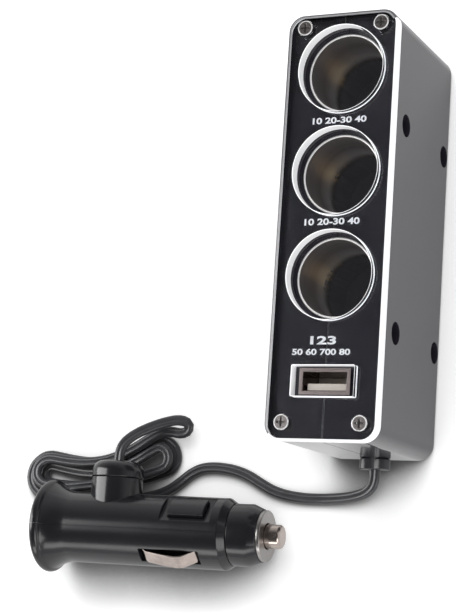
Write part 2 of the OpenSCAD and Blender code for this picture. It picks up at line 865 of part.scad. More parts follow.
hank_gap = min([for (i = [0 : hank_steps], j = [i + 6 : 1 : hank_steps])
    if (norm(hank_route[i] - hank_route[j]) < 3 * cord_w)
        rings_apart(hank_rings[i], hank_rings[j])]);
echo(least_gap_between_hank_strands = hank_gap);

module cord_hank() {
    color("dimgray")
        skin(hank_rings, wire_sides);
}

// The lead's points near the case follow its low end, and the others stay where they lie
function lead_point(i) =
    lead_points[i] + [0, (lead_drawn_half_l - half_l) * max(1 - i / lead_free_points, 0), 0];

module cord_lead() {
    start = [0, -half_l - grommet_out, grommet_z];
    places = [for (i = [0 : len(lead_points) - 1]) lead_point(i)];
    color("dimgray")
        tube(concat([start], places, [hank_route[0]]), cord_w, cord_t, tube_sides, [0, -1, 0], hank_first);
}

module cord_tail() {
    color("dimgray")
        tube(concat([hank_route[hank_steps]], tail_points, [neck_exit]), cord_w, cord_t, tube_sides,
            hank_last, [0, -1, 0]);
}

// Plug, drawn along X from the middle of its flange, then laid on its flange and shoulder

plug_z = flange_r * cos(plug_tilt) + plug_lift;
neck_exit = [plug_x + neck_at * cos(plug_tilt), plug_y + neck_l, plug_z - neck_at * sin(plug_tilt)];

module laid_plug() {
    translate([plug_x, plug_y, plug_z])
        rotate([0, plug_tilt, 0])
            children();
}

// Turns a child from the top of the plug to a clock angle about its axis
module clocked(angle) {
    rotate([angle, 0, 0])
        children();
}

module revolved() {
    rotate([0, 90, 0])
        rotate_extrude()
            children();
}

module flare_outline() {
    foot_r = barrel_r + flare_rise;
    bend_r = (pow(flare_rise, 2) + pow(flare_l - rim_r, 2)) / (2 * flare_rise);
    difference() {
        square([foot_r, flare_l]);
        translate([barrel_r + bend_r, flare_l])
            circle(bend_r, $fn = 200);
    }
}

module plug_outline() {
    disc_r = flange_r - rim_r;
    dome_r = (pow(disc_r, 2) + pow(dome_h, 2)) / (2 * dome_h);
    translate([0, -rim_r])
        square([disc_r, 2 * rim_r]);
    intersection() {
        translate([disc_r, 0])
            circle(rim_r);
        translate([0, -rim_r])
            square([flange_r, 2 * rim_r]);
    }
    intersection() {
        translate([0, dome_r - rim_r - dome_h])
            circle(dome_r, $fn = 200);
        translate([0, -rim_r - dome_h])
            square([disc_r, dome_h + rim_r]);
    }
    flare_outline();
    square([barrel_r, barrel_l]);
    polygon([[0, barrel_l], [barrel_r, barrel_l], [shoulder_r, barrel_l + shoulder_l], [0, barrel_l + shoulder_l]]);
    square([spigot_r, barrel_l + shoulder_l + spigot_l]);
}

module plug_hollow_outline() {
    translate([0, chamber_start])
        square([chamber_r, barrel_l]);
    translate([0, hollow_start])
        square([hollow_r, chamber_start - partition_t - hollow_start]);
}

module leaf_slot(angle) {
    clocked(angle)
        block_at([leaf_start - leaf_slot_end, -leaf_w / 2 - leaf_slot_side, leaf_slot_floor_r],
            [leaf_start + leaf_l + leaf_slot_end, leaf_w / 2 + leaf_slot_side, flange_r]);
}

window_start = pad_start + (pocket_l - window_l) / 2;

module pad_pocket(angle) {
    clocked(angle) {
        block_at([pad_start, -pocket_w / 2, pocket_floor_r], [pad_start + pocket_l, pocket_w / 2, flange_r]);
        block_at([window_start, -window_w / 2, window_floor_r],
            [window_start + window_l, window_w / 2, flange_r]);
    }
}

module neck_outer() {
    translate([neck_at, 0, 0])
        along_y(neck_seam, neck_r);
}

module plug_body() {
    difference() {
        union() {
            revolved()
                plug_outline();
            neck_outer();
        }
        revolved()
            plug_hollow_outline();
        translate([neck_at, 0, 0])
            along_y(neck_l, neck_bore_r);
        for (half = [0, 180]) {
            leaf_slot(leaf_clock + half);
            pad_pocket(leaf_clock - 90 + half);
        }
    }
}

plug_reach = barrel_l + barrel_l;

module plug_shell_front() {
    color("black")
        laid_plug()
            intersection() {
                plug_body();
                block_at([-flange_r, -plug_reach, -plug_reach], [plug_reach, -seam_gap / 2, plug_reach]);
            }
}

module plug_shell_back() {
    color("black")
        laid_plug()
            intersection() {
                plug_body();
                block_at([-flange_r, seam_gap / 2, -plug_reach], [plug_reach, plug_reach, plug_reach]);
            }
}

// Half section of the neck's cap: a plain band that rounds over to its end face
module neck_cap_outline() {
    translate([0, neck_seam + snug])
        square([neck_cap_r, neck_l - neck_seam - snug - neck_cap_round]);
    translate([0, neck_seam + snug])
        square([neck_cap_r - neck_cap_round, neck_l - neck_seam - snug]);
    intersection() {
        translate([neck_cap_r - neck_cap_round, neck_l - neck_cap_round])
            circle(neck_cap_round);
        translate([0, neck_l - neck_cap_round])
            square([neck_cap_r, neck_cap_round]);
    }
}

module plug_neck_cap() {
    color("black")
        laid_plug()
            translate([neck_at, 0, 0]) {
                rotate([-90, 0, 0])
                    rotate_extrude()
                        neck_cap_outline();
                translate([0, neck_seam - neck_spigot_l, 0])
                    along_y(neck_spigot_l + wall, neck_bore_r - snug);
            }
}

module plug_nose_cap() {
    color("black")
        laid_plug()
            revolved()
                difference() {
                    polygon([[0, cap_start], [nose_r, cap_start], [nose_r, cap_start + cap_barrel_l],
                        [cap_face_r, cap_end], [0, cap_end]]);
                    translate([0, cap_start - cut])
                        square([spigot_r + slide_gap, cut + spigot_l + 2 * snug]);
                    translate([0, cap_start])
                        square([chamber_r, cap_end - cap_wall_t - cap_start]);
                    translate([0, cap_start])
                        square([tip_r + slide_gap, cap_end]);
                }
}

module plug_end_ring() {
    color("silver")
        laid_plug()
            revolved()
                translate([tip_r + seat_gap + slide_gap, cap_end])
                    square([ring_r - tip_r - seat_gap - slide_gap, ring_t]);
}

module plug_tip() {
    color("silver")
        laid_plug()
            revolved() {
                translate([0, tip_seat - tip_flange_t])
                    square([tip_flange_r, tip_flange_t]);
                translate([0, tip_seat - tip_flange_t])
                    square([tip_r, tip_end - tip_round - tip_seat + tip_flange_t]);
                translate([0, tip_seat])
                    square([tip_r - tip_round, tip_end - tip_seat]);
                intersection() {
                    translate([tip_r - tip_round, tip_end - tip_round])
                        circle(tip_round);
                    square([tip_r, tip_end]);
                }
            }
}

module fuse_glass() {
    color([0.8, 0.9, 0.9, 0.4])
        laid_plug()
            revolved()
                translate([fuse_glass_r - fuse_glass_wall, fuse_start + fuse_cap_l / 2])
                    square([fuse_glass_wall, fuse_l - fuse_cap_l]);
}

module fuse_caps() {
    color("silver")
        laid_plug()
            for (at = [fuse_start, fuse_end - fuse_cap_l])
                revolved()
                    difference() {
                        translate([0, at])
                            square([fuse_r, fuse_cap_l]);
                        translate([0, fuse_start + fuse_cap_l / 2 - snug])
                            square([fuse_glass_r + snug / 2, fuse_l - fuse_cap_l + 2 * snug]);
                    }
}

module plug_spring() {
    color("gray")
        laid_plug()
            rotate([0, 90, 0])
                coil(plug_spring_r, plug_spring_wire, plug_spring_turns,
                    chamber_start + terminal_t + snug, fuse_start - snug);
}

module plug_terminal() {
    color("goldenrod")
        laid_plug()
            translate([chamber_start, 0, 0])
                along_x(terminal_t, terminal_r);
}

leaf_points = [for (i = [0 : len(leaf_l_shares) - 1])
    [leaf_start + leaf_l_shares[i] * leaf_l,
     leaf_foot_r + leaf_rise_shares[i] * (leaf_crown_r - leaf_foot_r)]];

module side_contact(angle) {
    color("silver")
        laid_plug()
            clocked(angle)
                translate([0, leaf_w / 2, 0])
                    rotate([90, 0, 0])
                        linear_extrude(leaf_w)
                            strip_outline(leaf_points, leaf_t);
}

module grip_pad(angle) {
    low_x = window_start + pad_gap;
    high_x = window_start + window_l - pad_gap;
    color("black")
        laid_plug()
            clocked(angle)
                intersection() {
                    block_at([low_x, -window_w / 2 + pad_gap, pad_bottom_r],
                        [high_x, window_w / 2 - pad_gap, flange_r]);
                    translate([low_x - cut, 0, 0])
                        along_x(window_l + 2 * cut, barrel_r + pad_out);
                }
}

left_shell();
right_shell();
front_plate();
plate_screws();
shell_screws();
socket_sleeve(0);  // socket_sleeve_1
socket_sleeve(1);  // socket_sleeve_2
socket_sleeve(2);  // socket_sleeve_3
socket_cup(0);  // socket_cup_1
socket_cup(1);  // socket_cup_2
socket_cup(2);  // socket_cup_3
centre_contact(0);  // centre_contact_1
centre_contact(1);  // centre_contact_2
centre_contact(2);  // centre_contact_3
contact_spring(0);  // contact_spring_1
contact_spring(1);  // contact_spring_2
contact_spring(2);  // contact_spring_3
positive_bus();
negative_bus();
positive_wire();
negative_wire();
port_shell();
port_tongue();
port_contacts();
circuit_board();
board_inductor();
board_capacitor();
board_chip();
cord_grommet();
cord_lead();
cord_hank();
cord_tail();
plug_shell_front();
plug_shell_back();
plug_neck_cap();
plug_nose_cap();
plug_end_ring();
plug_tip();
plug_spring();
plug_terminal();
fuse_glass();
fuse_caps();
side_contact(leaf_clock);  // side_contact_1
side_contact(leaf_clock + 180);  // side_contact_2
grip_pad(leaf_clock - 90);  // grip_pad_1
grip_pad(leaf_clock + 90);  // grip_pad_2
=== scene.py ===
import json
import logging
import math
from contextlib import contextmanager
from dataclasses import dataclass
from enum import Enum
from typing import Callable, Iterator, List, Optional, Sequence, Tuple

import bpy
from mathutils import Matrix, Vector

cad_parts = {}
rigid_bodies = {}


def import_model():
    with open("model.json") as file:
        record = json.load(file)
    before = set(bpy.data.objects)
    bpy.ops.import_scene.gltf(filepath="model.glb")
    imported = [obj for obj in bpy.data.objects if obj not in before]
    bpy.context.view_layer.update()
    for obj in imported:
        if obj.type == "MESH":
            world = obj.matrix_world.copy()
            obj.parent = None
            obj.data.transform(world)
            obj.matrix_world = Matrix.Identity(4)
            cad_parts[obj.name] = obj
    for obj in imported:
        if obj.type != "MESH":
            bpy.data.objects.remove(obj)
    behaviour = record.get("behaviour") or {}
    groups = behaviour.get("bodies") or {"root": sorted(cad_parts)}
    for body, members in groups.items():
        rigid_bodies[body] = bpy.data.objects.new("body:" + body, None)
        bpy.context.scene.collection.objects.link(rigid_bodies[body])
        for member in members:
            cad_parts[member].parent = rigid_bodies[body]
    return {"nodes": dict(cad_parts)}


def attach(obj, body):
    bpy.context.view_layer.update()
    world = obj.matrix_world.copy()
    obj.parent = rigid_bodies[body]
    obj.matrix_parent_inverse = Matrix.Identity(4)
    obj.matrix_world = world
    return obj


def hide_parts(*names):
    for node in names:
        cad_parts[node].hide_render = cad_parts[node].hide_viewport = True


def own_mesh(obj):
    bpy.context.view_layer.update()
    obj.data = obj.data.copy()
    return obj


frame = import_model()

Point = Tuple[float, float, float]
Colour = Tuple[float, float, float]
Piece = bpy.types.Object
Face = bpy.types.MeshPolygon
End = bpy.types.NodeSocket
Tree = bpy.types.NodeTree

MM = 0.001
MERGE_REACH = 0.000002
SMOOTH_ANGLE = math.radians(50.0)
FLAT_ANGLE = math.radians(0.6)
UP = (0.0, 0.0, 1.0)

logging.basicConfig(level=logging.INFO, format="%(message)s")
log = logging.getLogger("splitter")


class Body(Enum):
    """The moving groups that pieces made here ride on."""

    UNIT = "unit"
    NOSE_CAP = "nose_cap"
    TIP = "tip"
    SIDE_CONTACT_1 = "side_contact_1"
    SIDE_CONTACT_2 = "side_contact_2"
    GRIP_PAD_1 = "grip_pad_1"
    GRIP_PAD_2 = "grip_pad_2"
    CENTRE_CONTACT_1 = "centre_contact_1"
    CENTRE_CONTACT_2 = "centre_contact_2"
    CENTRE_CONTACT_3 = "centre_contact_3"


class Pattern(Enum):
    """How the fine marks of a surface run, as the pattern's scale along each axis."""

    MOULDED = (1.0, 1.0, 1.0)
    BRUSHED = (0.06, 0.06, 1.0)
    TURNED = (1.0, 0.05, 0.05)


class NodeTree:
    """Adds and joins shader nodes in one tree."""

    def __init__(self, tree: Tree) -> None:
        """Keeps the node tree of a material, group or world, and clears it."""
        self.tree = tree
        tree.nodes.clear()

    def put(self, place: End, term: object) -> None:
        """Links an output to an input, or sets the input's number, vector or colour."""
        if isinstance(term, End):
            self.tree.links.new(term, place)
        else:
            place.default_value = (*term, 1.0) if place.type == "RGBA" else term

    def add(self, kind: str, **values: object) -> bpy.types.Node:
        """Adds a node and sets its attributes and inputs.

        Args:
            kind: Blender's name of the node type, without ShaderNode.
            values: attributes of the node, and inputs keyed by their names with underscores.

        Returns:
            The new node.
        """
        node = self.tree.nodes.new("ShaderNode" + kind)
        for key, value in values.items():
            if hasattr(node, key):
                setattr(node, key, value)
            else:
                self.put(node.inputs[key.replace("_", " ")], value)
        return node

    def math(self, operation: str, *terms: object, clamp: bool = False) -> End:
        """Adds a Math node.

        Args:
            operation: what it does.
            terms: its inputs in order, each an output or a number.
            clamp: whether the result is kept between 0 and 1.

        Returns:
            The result.
        """
        node = self.add("Math", operation=operation, use_clamp=clamp)
        for place, term in zip(node.inputs, terms):
            self.put(place, term)
        return node.outputs[0]

    def mix(self, mask: End, first: object, second: object, colours: bool = True) -> End:
        """Mixes two colours or two numbers by a mask.

        Args:
            mask: 0 for the first, 1 for the second.
            first: an output or a value.
            second: an output or a value.
            colours: whether colours are mixed, and not numbers.

        Returns:
            The result.
        """
        node = self.add("Mix", data_type="RGBA" if colours else "FLOAT")
        kind = "RGBA" if colours else "VALUE"
        self.put(node.inputs[0], mask)
        for place, term in zip([end for end in node.inputs if end.type == kind][-2:], (first, second)):
            self.put(place, term)
        return next(end for end in node.outputs if end.type == kind)


class Effects:
    """The shader node groups that the finishes share, each built once."""

    @staticmethod
    def _group(name: str, output: str, build: Callable[..., End], **inputs: float) -> Tree:
        """Builds a node group, or finds it.

        Args:
            name: the group's name.
            output: the output's name, Mask or Normal.
            build: adds the nodes from the vector and the other inputs to the result.
            inputs: the other inputs' names, with underscores, and defaults.

        Returns:
            The group.
        """
        if name in bpy.data.node_groups:
            return bpy.data.node_groups[name]
        group = bpy.data.node_groups.new(name, "ShaderNodeTree")
        group.interface.new_socket(name="Vector", in_out="INPUT", socket_type="NodeSocketVector")
        for label, default in inputs.items():
            name = label.replace("_", " ")
            end = group.interface.new_socket(name=name, in_out="INPUT", socket_type="NodeSocketFloat")
            end.default_value = default
        kind = "NodeSocketVector" if output == "Normal" else "NodeSocketFloat"
        group.interface.new_socket(name=output, in_out="OUTPUT", socket_type=kind)
        nodes = NodeTree(group)
        start, finish = group.nodes.new("NodeGroupInput"), group.nodes.new("NodeGroupOutput")
        nodes.put(finish.inputs[0], build(nodes, *start.outputs[:len(inputs) + 1]))
        return group

    @classmethod
    def mottle(cls) -> Tree:
        """Soft cloudy variation, from 0 to 1 round a half."""

        def build(nodes: NodeTree, vector: End, scale: End, contrast: End) -> End:
            """Stretches a noise about its middle."""
            noise = nodes.add(
                "TexNoise", Vector=vector, Scale=scale, Detail=5.0, Roughness=0.62, Distortion=0.4)
            shift = nodes.math("SUBTRACT", noise.outputs["Fac"], 0.5)
            return nodes.math("ADD", nodes.math("MULTIPLY", shift, contrast), 0.5, clamp=True)

        return cls._group("cloudy_mottle", "Mask", build, Scale=80.0, Contrast=1.0)

    @classmethod
    def relief(cls) -> Tree:
        """A fine bumpy normal, such as a mould's grain or a turned metal's rings."""

        def build(nodes: NodeTree, vector: End, scale: End, strength: End,
                  distance: End) -> End:
            """Bumps the surface by a noise."""
            noise = nodes.add("TexNoise", Vector=vector, Scale=scale, Detail=3.0, Roughness=0.5)
            bump = nodes.add("Bump", Height=noise.outputs["Fac"], Strength=strength, Distance=distance)
            return bump.outputs["Normal"]

        return cls._group("fine_relief", "Normal", build, Scale=900.0, Strength=0.2, Distance=0.0001)

    @classmethod
    def specks(cls) -> Tree:
        """Sparse small specks of dust, 1 on a speck and 0 off it."""

        def build(nodes: NodeTree, vector: End, scale: End, size: End) -> End:
            """Keeps the middles of small cells, in some patches alone."""
            cells = nodes.add("TexVoronoi", Vector=vector, Scale=scale)
            patch = nodes.add("TexNoise", Vector=vector, Scale=60.0, Detail=2.0)
            small = nodes.math("LESS_THAN", cells.outputs["Distance"], size)
            return nodes.math("MULTIPLY", small, nodes.math("GREATER_THAN", patch.outputs["Fac"], 0.56))

        return cls._group("dust_specks", "Mask", build, Scale=600.0, Size=0.08)

    @classmethod
    def four_glint_rings(cls) -> Tree:
        """Rings round four places set out as a rectangle, 1 outside the radius and 0 inside it."""

        def build(nodes: NodeTree, vector: End, half_x: End, mid_y: End, half_y: End,
                  radius: End) -> End:
            """Measures how far a point is from the nearest place, with a narrow blend at the radius."""
            parts = nodes.add("SeparateXYZ", Vector=vector).outputs
            along = nodes.math("ABSOLUTE", nodes.math("SUBTRACT", parts["Y"], mid_y))
            dx = nodes.math("SUBTRACT", nodes.math("ABSOLUTE", parts["X"]), half_x)
            dy = nodes.math("SUBTRACT", along, half_y)
            square = nodes.math("ADD", nodes.math("MULTIPLY", dx, dx), nodes.math("MULTIPLY", dy, dy))
            beyond = nodes.math("SUBTRACT", nodes.math("SQRT", square), radius)
            return nodes.math("ADD", nodes.math("MULTIPLY", beyond, 9000.0), 0.5, clamp=True)

        return cls._group("four_glint_rings", "Mask", build, Half_X=0.01, Mid_Y=0.0, Half_Y=0.05, Radius=0.0015)


@dataclass(frozen=True)
class Rings:
    """Where the four plate screws are, in millimetres, and the colour of the painted highlight round their
    heads' rims.
    """

    half_x: float = 11.1
    mid_y: float = 0.6
    half_y: float = 54.7
    radius: float = 1.84
    colour: Colour = (0.86, 0.85, 0.84)


@dataclass(frozen=True)
class PaintedFade:
    """A painted change of light or shade between two heights, in millimetres."""

    low: float
    high: float
    low_colour: Colour


@dataclass(frozen=True)
class Finish:
    """One surface finish and the procedural material that shows it."""

    name: str
    slot: str
    colour: Colour
    second: Colour
    roughness: float
    metallic: float = 0.0
    spread: float = 0.08
    pattern: Pattern = Pattern.MOULDED
    cloud: float = 60.0
    contrast: float = 1.6
    fine: float = 1500.0
    grain: float = 0.1
    grain_depth: float = 0.00003
    specks: float = 0.0
    speck_colour: Colour = (0.1, 0.1, 0.11)
    ior: float = 1.5
    transmission: float = 0.0
    # Emission strength; where set, the surface glows though it is no lamp, which is painted light.
    glow: float = 0.0
    end_polish: float = 0.0
    coat_roughness: float = 0.06
    rings: Optional[Rings] = None
    painted_fade: Optional[PaintedFade] = None

    def tint(self, nodes: NodeTree, place: End, cloud: End) -> End:
        """Adds the nodes for the colour: mottling, then dust and a painted fade of light or shade where the
        finish has them.

        Args:
            nodes: the material's nodes.
            place: object coordinates.
            cloud: the mottling's mask.

        Returns:
            The colour.
        """
        tint = nodes.mix(cloud, self.colour, self.second)
        if self.specks:
            dust = nodes.add("Group", node_tree=Effects.specks(), Size=self.specks, Vector=place)
            tint = nodes.mix(dust.outputs[0], tint, self.speck_colour)
        # Painted highlight or shade that changes with height.
        if self.painted_fade:
            height = nodes.add("SeparateXYZ", Vector=place).outputs["Z"]
            slope = nodes.add(
                "MapRange", interpolation_type="SMOOTHSTEP", Value=height, From_Min=self.painted_fade.high * MM,
                From_Max=self.painted_fade.low * MM)
            tint = nodes.mix(slope.outputs[0], tint, self.painted_fade.low_colour)
        return tint

    def material(self) -> bpy.types.Material:
        """Builds the material once and returns it.

        Returns:
            The material, shared by every piece with this finish.
        """
        if self.name in bpy.data.materials:
            return bpy.data.materials[self.name]
        made = bpy.data.materials.new(self.name)
        made.use_nodes = True
        made.diffuse_color = (*self.colour, 1.0)
        nodes = NodeTree(made.node_tree)
        source = nodes.add("TexCoord").outputs
        place = source["Object"]
        run = nodes.add("Mapping", Vector=place, Scale=self.pattern.value).outputs["Vector"]
        cloud = nodes.add(
            "Group", node_tree=Effects.mottle(), Vector=run, Scale=self.cloud,
            Contrast=self.contrast).outputs[0]
        rough = nodes.add(
            "MapRange", Value=cloud, To_Min=max(self.roughness - self.spread, 0.01),
            To_Max=min(self.roughness + self.spread, 1.0)).outputs[0]
        grain = nodes.add(
            "Group", node_tree=Effects.relief(), Vector=run, Scale=self.fine, Strength=self.grain,
            Distance=self.grain_depth).outputs[0]
        skin = nodes.add(
            "BsdfPrincipled", Metallic=self.metallic, IOR=self.ior, Roughness=rough, Normal=grain,
            Coat_Roughness=self.coat_roughness, Transmission_Weight=self.transmission,
            Emission_Strength=self.glow)
        tint = self.tint(nodes, place, cloud)
        # Painted highlight: a bright, non-metallic ring round each plate screw's head.
        if self.rings:
            rings = nodes.add(
                "Group", node_tree=Effects.four_glint_rings(), Vector=place, Half_X=self.rings.half_x * MM,
                Mid_Y=self.rings.mid_y * MM, Half_Y=self.rings.half_y * MM,
                Radius=self.rings.radius * MM).outputs[0]
            tint = nodes.mix(rings, tint, self.rings.colour)
            nodes.put(skin.inputs["Metallic"], nodes.math("SUBTRACT", 1.0, rings))
        if self.end_polish:
            facing = nodes.add("SeparateXYZ", Vector=source["Normal"]).outputs["Y"]
            end = nodes.math("SUBTRACT", nodes.math("MULTIPLY", facing, -1.6), 0.6, clamp=True)
            nodes.put(skin.inputs["Coat Weight"], nodes.math("MULTIPLY", end, self.end_polish))
        nodes.put(skin.inputs["Base Color"], tint)
        # Painted light: the glow takes the surface's own colour.
        if self.glow:
            nodes.put(skin.inputs["Emission Color"], tint)
        nodes.add("OutputMaterial", Surface=skin.outputs[0])
        return made


class Finishes:
    """Every finish on the splitter."""

    CASE = Finish("case_black_gloss", "case_plastic", (0.019, 0.018, 0.025), (0.027, 0.024, 0.033), 0.2,
        spread=0.05, cloud=30.0, fine=300.0, grain=0.12, grain_depth=0.00001, specks=0.04, end_polish=0.75)
    # Painted highlight: a lighter grey for the seam's bevels on the front.
    SEAM_GLINT = Finish("case_seam_painted_glint", "case_plastic", (0.16, 0.16, 0.17), (0.1, 0.1, 0.11), 0.25, cloud=300.0,
        grain=0.2)
    PLATE = Finish("clear_plate_face", "clear_plate", (0.97, 0.98, 1.0), (0.95, 0.97, 0.99), 0.02, spread=0.01,
        cloud=25.0, fine=60.0, grain=0.02, grain_depth=0.000005, transmission=1.0, ior=1.49)
    # Frosted white cut edge; its glow, and its use only on faces that look to the light, are painted light.
    PLATE_LIT_EDGE = Finish("clear_plate_cut_edge_painted_light", "clear_plate", (0.97, 0.97, 0.98), (0.86, 0.87, 0.89), 0.3,
        spread=0.12, pattern=Pattern.BRUSHED, cloud=260.0, fine=1600.0, grain=0.3, ior=1.49, glow=0.21)
    # Painted shade: a dark copy of the cut edge for rim faces that look away from the light.
    PLATE_SHADE = Finish("clear_plate_shaded_edge", "clear_plate", (0.16, 0.16, 0.17), (0.07, 0.07, 0.078), 0.2,
        spread=0.1, pattern=Pattern.BRUSHED, cloud=200.0, fine=900.0, grain=0.2, ior=1.49)
    # Painted highlight: a grey line inside the painted shade of the rim.
    PLATE_GLINT = Finish("clear_plate_rim_glint", "clear_plate", (0.4, 0.4, 0.41), (0.27, 0.27, 0.28), 0.25,
        cloud=160.0, ior=1.49)
    # Painted highlight: a glowing white line on the back's bevels and round the holes' mouths.
    PLATE_BRIGHT_LINE = Finish("clear_plate_painted_bright_line", "clear_plate", (0.97, 0.97, 0.98), (0.8, 0.81, 0.83), 0.3,
        cloud=220.0, glow=0.55)
    # Sleeve steel with a faint glow as painted light, lightening towards the low end as a painted highlight.
    SLEEVE = Finish("sleeve_bronze_steel_painted_highlight", "sleeve_steel", (0.52, 0.48, 0.475), (0.37, 0.335, 0.33), 0.32, 0.9,
        pattern=Pattern.BRUSHED, cloud=260.0, fine=2200.0, grain=0.2, grain_depth=0.00002, glow=0.03,
        painted_fade=PaintedFade(25.5, 34.0, (0.8, 0.78, 0.765)))
    # Painted highlight: a light, glowing band where the sleeve meets the cup, fading to painted shade lower
    # down.
    LOW_END_GLINT = Finish("sleeve_low_end_painted_glint", "sleeve_steel", (0.8, 0.775, 0.755), (0.64, 0.615, 0.6), 0.3, 0.9,
        spread=0.1, cloud=180.0, grain=0.2, glow=0.03, painted_fade=PaintedFade(20.5, 24.5, (0.2, 0.185, 0.18)))
    # Painted highlight: a near-white, glowing copy of the sleeve steel for its rim.
    RIM_GLINT = Finish("sleeve_rim_painted_glint", "sleeve_steel", (0.95, 0.94, 0.93), (0.8, 0.79, 0.78), 0.3, 0.3,
        spread=0.1, cloud=300.0, glow=0.12)
    # Matte black insulator, lifted by a faint glow: painted light in the deep cup.
    CUP = Finish("cup_matte_black_painted_glow", "cup_plastic", (0.07, 0.07, 0.08), (0.09, 0.09, 0.1), 0.4, grain=0.3,
        glow=0.13)
    BRASS = Finish("contact_brass", "contact_brass", (0.6, 0.43, 0.2), (0.48, 0.34, 0.16), 0.28, 1.0,
        cloud=300.0, fine=1800.0, grain=0.2)
    SPRING = Finish("spring_drawn_steel", "spring_steel", (0.5, 0.5, 0.52), (0.38, 0.38, 0.4), 0.25, 1.0,
        cloud=500.0, grain=0.15)
    SCREW = Finish("screw_nickel", "screw_steel", (0.2, 0.185, 0.18), (0.07, 0.065, 0.065), 0.3, 1.0,
        spread=0.15, cloud=900.0, fine=2500.0, grain=0.4)
    # Dark nickel with a painted highlight ring at the head's rim and a faint glow of painted light.
    PLATE_SCREW = Finish("plate_screw_nickel_painted_glint", "screw_steel", (0.3, 0.28, 0.275), (0.08, 0.072, 0.07), 0.3, 1.0,
        spread=0.15, cloud=900.0, fine=2500.0, grain=0.4, rings=Rings(), glow=0.1)
    PORT = Finish("port_tinned_steel", "port_steel", (0.34, 0.28, 0.265), (0.15, 0.12, 0.11), 0.2, 1.0,
        cloud=220.0, fine=2200.0, grain=0.25)
    # Painted highlight: a lighter, half-metallic copy of the port steel for the frame's lip.
    PORT_LIP_GLINT = Finish("port_frame_lip_painted_highlight", "port_steel", (0.42, 0.36, 0.35), (0.2, 0.17, 0.165), 0.22, 0.5,
        cloud=260.0, grain=0.15)
    TONGUE = Finish("tongue_cream", "tongue_plastic", (0.72, 0.66, 0.6), (0.6, 0.55, 0.5), 0.4, grain=0.2)
    GOLD = Finish("contact_gold", "gold_contact", (0.8, 0.58, 0.25), (0.66, 0.46, 0.2), 0.2, 1.0, cloud=500.0)
    BOARD = Finish("board_green_mask", "board_green", (0.02, 0.13, 0.045), (0.015, 0.09, 0.035), 0.3,
        cloud=260.0, grain=0.2, specks=0.12, speck_colour=(0.5, 0.5, 0.45))
    FERRITE = Finish("inductor_ferrite", "inductor_ferrite", (0.07, 0.07, 0.075), (0.045, 0.045, 0.05), 0.7,
        grain=0.6)
    SLEEVING = Finish("capacitor_shrink_sleeve", "capacitor_sleeve", (0.03, 0.035, 0.13), (0.02, 0.025, 0.1),
        0.25)
    CHIP = Finish("chip_epoxy", "chip_plastic", (0.02, 0.02, 0.02), (0.03, 0.03, 0.03), 0.55, grain=0.5)
    RED_WIRE = Finish("wire_red", "red_wire", (0.35, 0.02, 0.02), (0.28, 0.015, 0.015), 0.38)
    BLACK_WIRE = Finish("wire_black", "black_wire", (0.015, 0.015, 0.015), (0.025, 0.025, 0.025), 0.38)
    CORD = Finish("cord_jacket", "cord_rubber", (0.036, 0.036, 0.04), (0.056, 0.056, 0.061), 0.34, cloud=180.0,
        fine=1400.0, grain=0.35, grain_depth=0.00004)
    PLUG = Finish("plug_black_gloss", "plug_plastic", (0.01, 0.01, 0.012), (0.014, 0.014, 0.017), 0.2,
        spread=0.05, cloud=45.0, fine=300.0, grain=0.15, grain_depth=0.00001, specks=0.04)
    RING = Finish("end_ring_turned_steel", "ring_steel", (0.42, 0.4, 0.39), (0.24, 0.23, 0.22), 0.3, 1.0,
        pattern=Pattern.TURNED, cloud=400.0, fine=2600.0, grain=0.3)
    NICKEL = Finish("nickel_plate_warm", "tip_nickel", (0.58, 0.5, 0.46), (0.34, 0.29, 0.265), 0.2, 1.0,
        spread=0.1, cloud=190.0, grain=0.25)
    FUSE_GLASS = Finish("fuse_glass_tube", "fuse_tube", (0.95, 0.97, 0.97), (0.9, 0.93, 0.93), 0.03,
        spread=0.01, transmission=1.0, ior=1.46, grain=0.0)
    # White print, with a glow of painted light under the clear plate.
    MARK = Finish("mark_white_ink_painted_glow", "case_plastic", (0.94, 0.94, 0.95), (0.82, 0.82, 0.84), 0.6, grain=0.2,
        cloud=900.0, glow=0.3)


